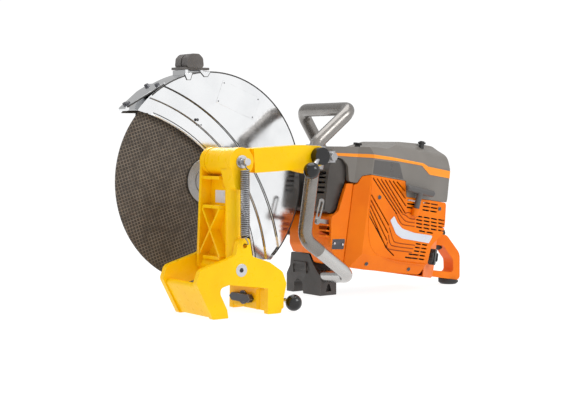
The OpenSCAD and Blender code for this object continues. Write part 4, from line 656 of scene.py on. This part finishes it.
# ribs in the darker orange of painted shade
for index in range(4):
    x, level = 388 + 7 * index, -31.7 + 7.4 * index
    cover_line("cover_rib_upper_%d" % index, [(x, -14 + 2 * index), (x + 11, level + 4.5),
                                              (x + 22, level), (439, level)], 5, RIB_R, GROOVE_SHADE)
for index in range(3):
    turn, level = 393 - 7 * index, -70.4 - 7.7 * index
    cover_line("cover_rib_lower_%d" % index, [(371.5, -42 - 15 * index),
                                              (turn - 8, level + 6 - index), (turn + 4, level),
                                              (446 - index * 3, level)], 5, RIB_R, GROOVE_SHADE)
cover_line("cover_seam", SEAM, 6, SEAM_R)

# ---- top cover: bare panel; front panel: the blank plate's rivets ----
plate("cover_panel", SAW, [(310.5, 89), (375, 92.5), (379, 89), (393, 61), (310.5, 61)],
      COVER_Y - SHEET_RISE, COVER_Y + 0.2, "saw_body", "dark_cover", PANEL, 0.15)
blank = [to_saw @ vertex.co for vertex in frame["nodes"]["blank_plate"].data.vertices]
blank_face = min(corner.y for corner in blank)
blank_x = min(corner.x for corner in blank), max(corner.x for corner in blank)
blank_z = (min(corner.z for corner in blank) + max(corner.z for corner in blank)) / 2
RIVET_IN = 5
for index, x in enumerate((blank_x[0] + RIVET_IN, blank_x[1] - RIVET_IN)):
    dome("blank_rivet_%d" % index, SAW, Vector((x, blank_face, blank_z)), 2.6, 1.3, "saw_body",
         "steel")

# ---- finishes of the CAD nodes that are shown as they are ----
for node, cad in frame["nodes"].items():
    if node in SOFT_EDGES or node == "tension_spring":
        continue
    finish = STRIPE if node == "top_stripe" else MATERIALS[NODE_SLOT[node]]
    if not cad.data.materials:
        cad.data.materials.append(finish)
    for held in cad.material_slots:
        held.material = finish

# ---- camera, fitted to the photograph's view ----
CENTRE = Vector((AXLE.x + 0.20086, AXLE.y, 0.19636))
AZIMUTH = math.radians(-36.1)
ELEVATION = math.radians(2.9)
DISTANCE = 2.6
SENSOR = 36.0
LENS = 78.88
toward = Vector((math.sin(AZIMUTH) * math.cos(ELEVATION),
                 -math.cos(AZIMUTH) * math.cos(ELEVATION), math.sin(ELEVATION)))
camera = bpy.data.objects.new("camera", bpy.data.cameras.new("camera"))
camera.data.sensor_width = SENSOR
camera.data.lens = LENS
camera.data.clip_end = 50
camera.location = CENTRE + DISTANCE * toward
camera.rotation_euler = toward.to_track_quat("Z", "Y").to_euler()
bpy.context.scene.collection.objects.link(camera)
bpy.context.scene.camera = camera


# ---- lights ----
def soft_light(name, place, aim, size, watts):
    """A rectangular lamp, turned to what it aims at."""
    data = bpy.data.lights.new(name, "AREA")
    data.shape = "RECTANGLE"
    data.size, data.size_y = size
    data.energy = watts
    lamp = bpy.data.objects.new(name, data)
    lamp.location = place
    lamp.rotation_euler = (Vector(place) - Vector(aim)).to_track_quat("Z", "Y").to_euler()
    bpy.context.scene.collection.objects.link(lamp)


soft_light("key", (0.9, -2.4, 1.9), (0, 0, 0.2), (1.6, 1.2), 34)
soft_light("top", (0.1, 0.5, 2.6), (0, 0, 0), (2.4, 2.4), 44)
soft_light("rim", (-2.2, 1.4, 1.6), (0, 0, 0.25), (1.2, 1.4), 14)

# ---- surroundings: soft light for dull faces, two walls for mirrors, white for the eye ----
SKY, PAPER = 0.55, 1.05
NEAR_WALL, FAR_WALL = 1.14, 0.5  # a paler wall on the starter side, a greyer one behind
WALL_EDGE = 0.6
world = bpy.data.worlds.new("studio")
bpy.context.scene.world = world
world.use_nodes = True
tree = world.node_tree
sky = tree.nodes["Background"]
paper_sky = tree.nodes.new("ShaderNodeBackground")
mirrored = tree.nodes.new("ShaderNodeBackground")
for backdrop in (sky, paper_sky, mirrored):
    backdrop.inputs["Color"].default_value = grey(1.0)
sky.inputs["Strength"].default_value = SKY
paper_sky.inputs["Strength"].default_value = PAPER
heading = tree.nodes.new("ShaderNodeSeparateXYZ")
tree.links.new(tree.nodes.new("ShaderNodeTexCoord").outputs["Generated"], heading.inputs[0])
wall = tree.nodes.new("ShaderNodeMapRange")
for socket, number in (("From Min", -WALL_EDGE), ("From Max", WALL_EDGE),
                       ("To Min", NEAR_WALL), ("To Max", FAR_WALL)):
    wall.inputs[socket].default_value = number
tree.links.new(heading.outputs["Y"], wall.inputs["Value"])
tree.links.new(wall.outputs["Result"], mirrored.inputs["Strength"])
ray = tree.nodes.new("ShaderNodeLightPath")


def choose(kind, other, chosen):
    """One surrounding for rays of a kind, the other for the rest."""
    made = tree.nodes.new("ShaderNodeMixShader")
    for output, socket in zip((ray.outputs[kind], other.outputs[0], chosen.outputs[0]),
                              made.inputs):
        tree.links.new(output, socket)
    return made


around = choose("Is Camera Ray", choose("Is Glossy Ray", sky, mirrored), paper_sky)
tree.links.new(around.outputs[0], tree.nodes["World Output"].inputs["Surface"])
bpy.context.scene.view_settings.view_transform = "Standard"

# ---- floor: white paper with a faint shadow ----
HALF = 14.0
PAPER_GLOW, PAPER_ROUGH = 0.9, 0.9
floor_mesh = bpy.data.meshes.new("floor")
floor_mesh.from_pydata([(-HALF, -HALF, 0), (HALF, -HALF, 0), (HALF, HALF, 0), (-HALF, HALF, 0)],
                       [], [(0, 1, 2, 3)])
floor = bpy.data.objects.new("floor", floor_mesh)
bpy.context.scene.collection.objects.link(floor)
paper = Shader("floor_paper", PAPER_ROUGH, Emission_Color=grey(1.0), Emission_Strength=PAPER_GLOW)
paper.bump((paper.noise(0.004, 3), 0.02 * MM))
drift = paper.span(paper.noise(0.6, 2), 0.3, 0.7)
floor_mesh.materials.append(paper.finish(paper.mix(drift, grey(0.16), grey(0.19)), PAPER_ROUGH))
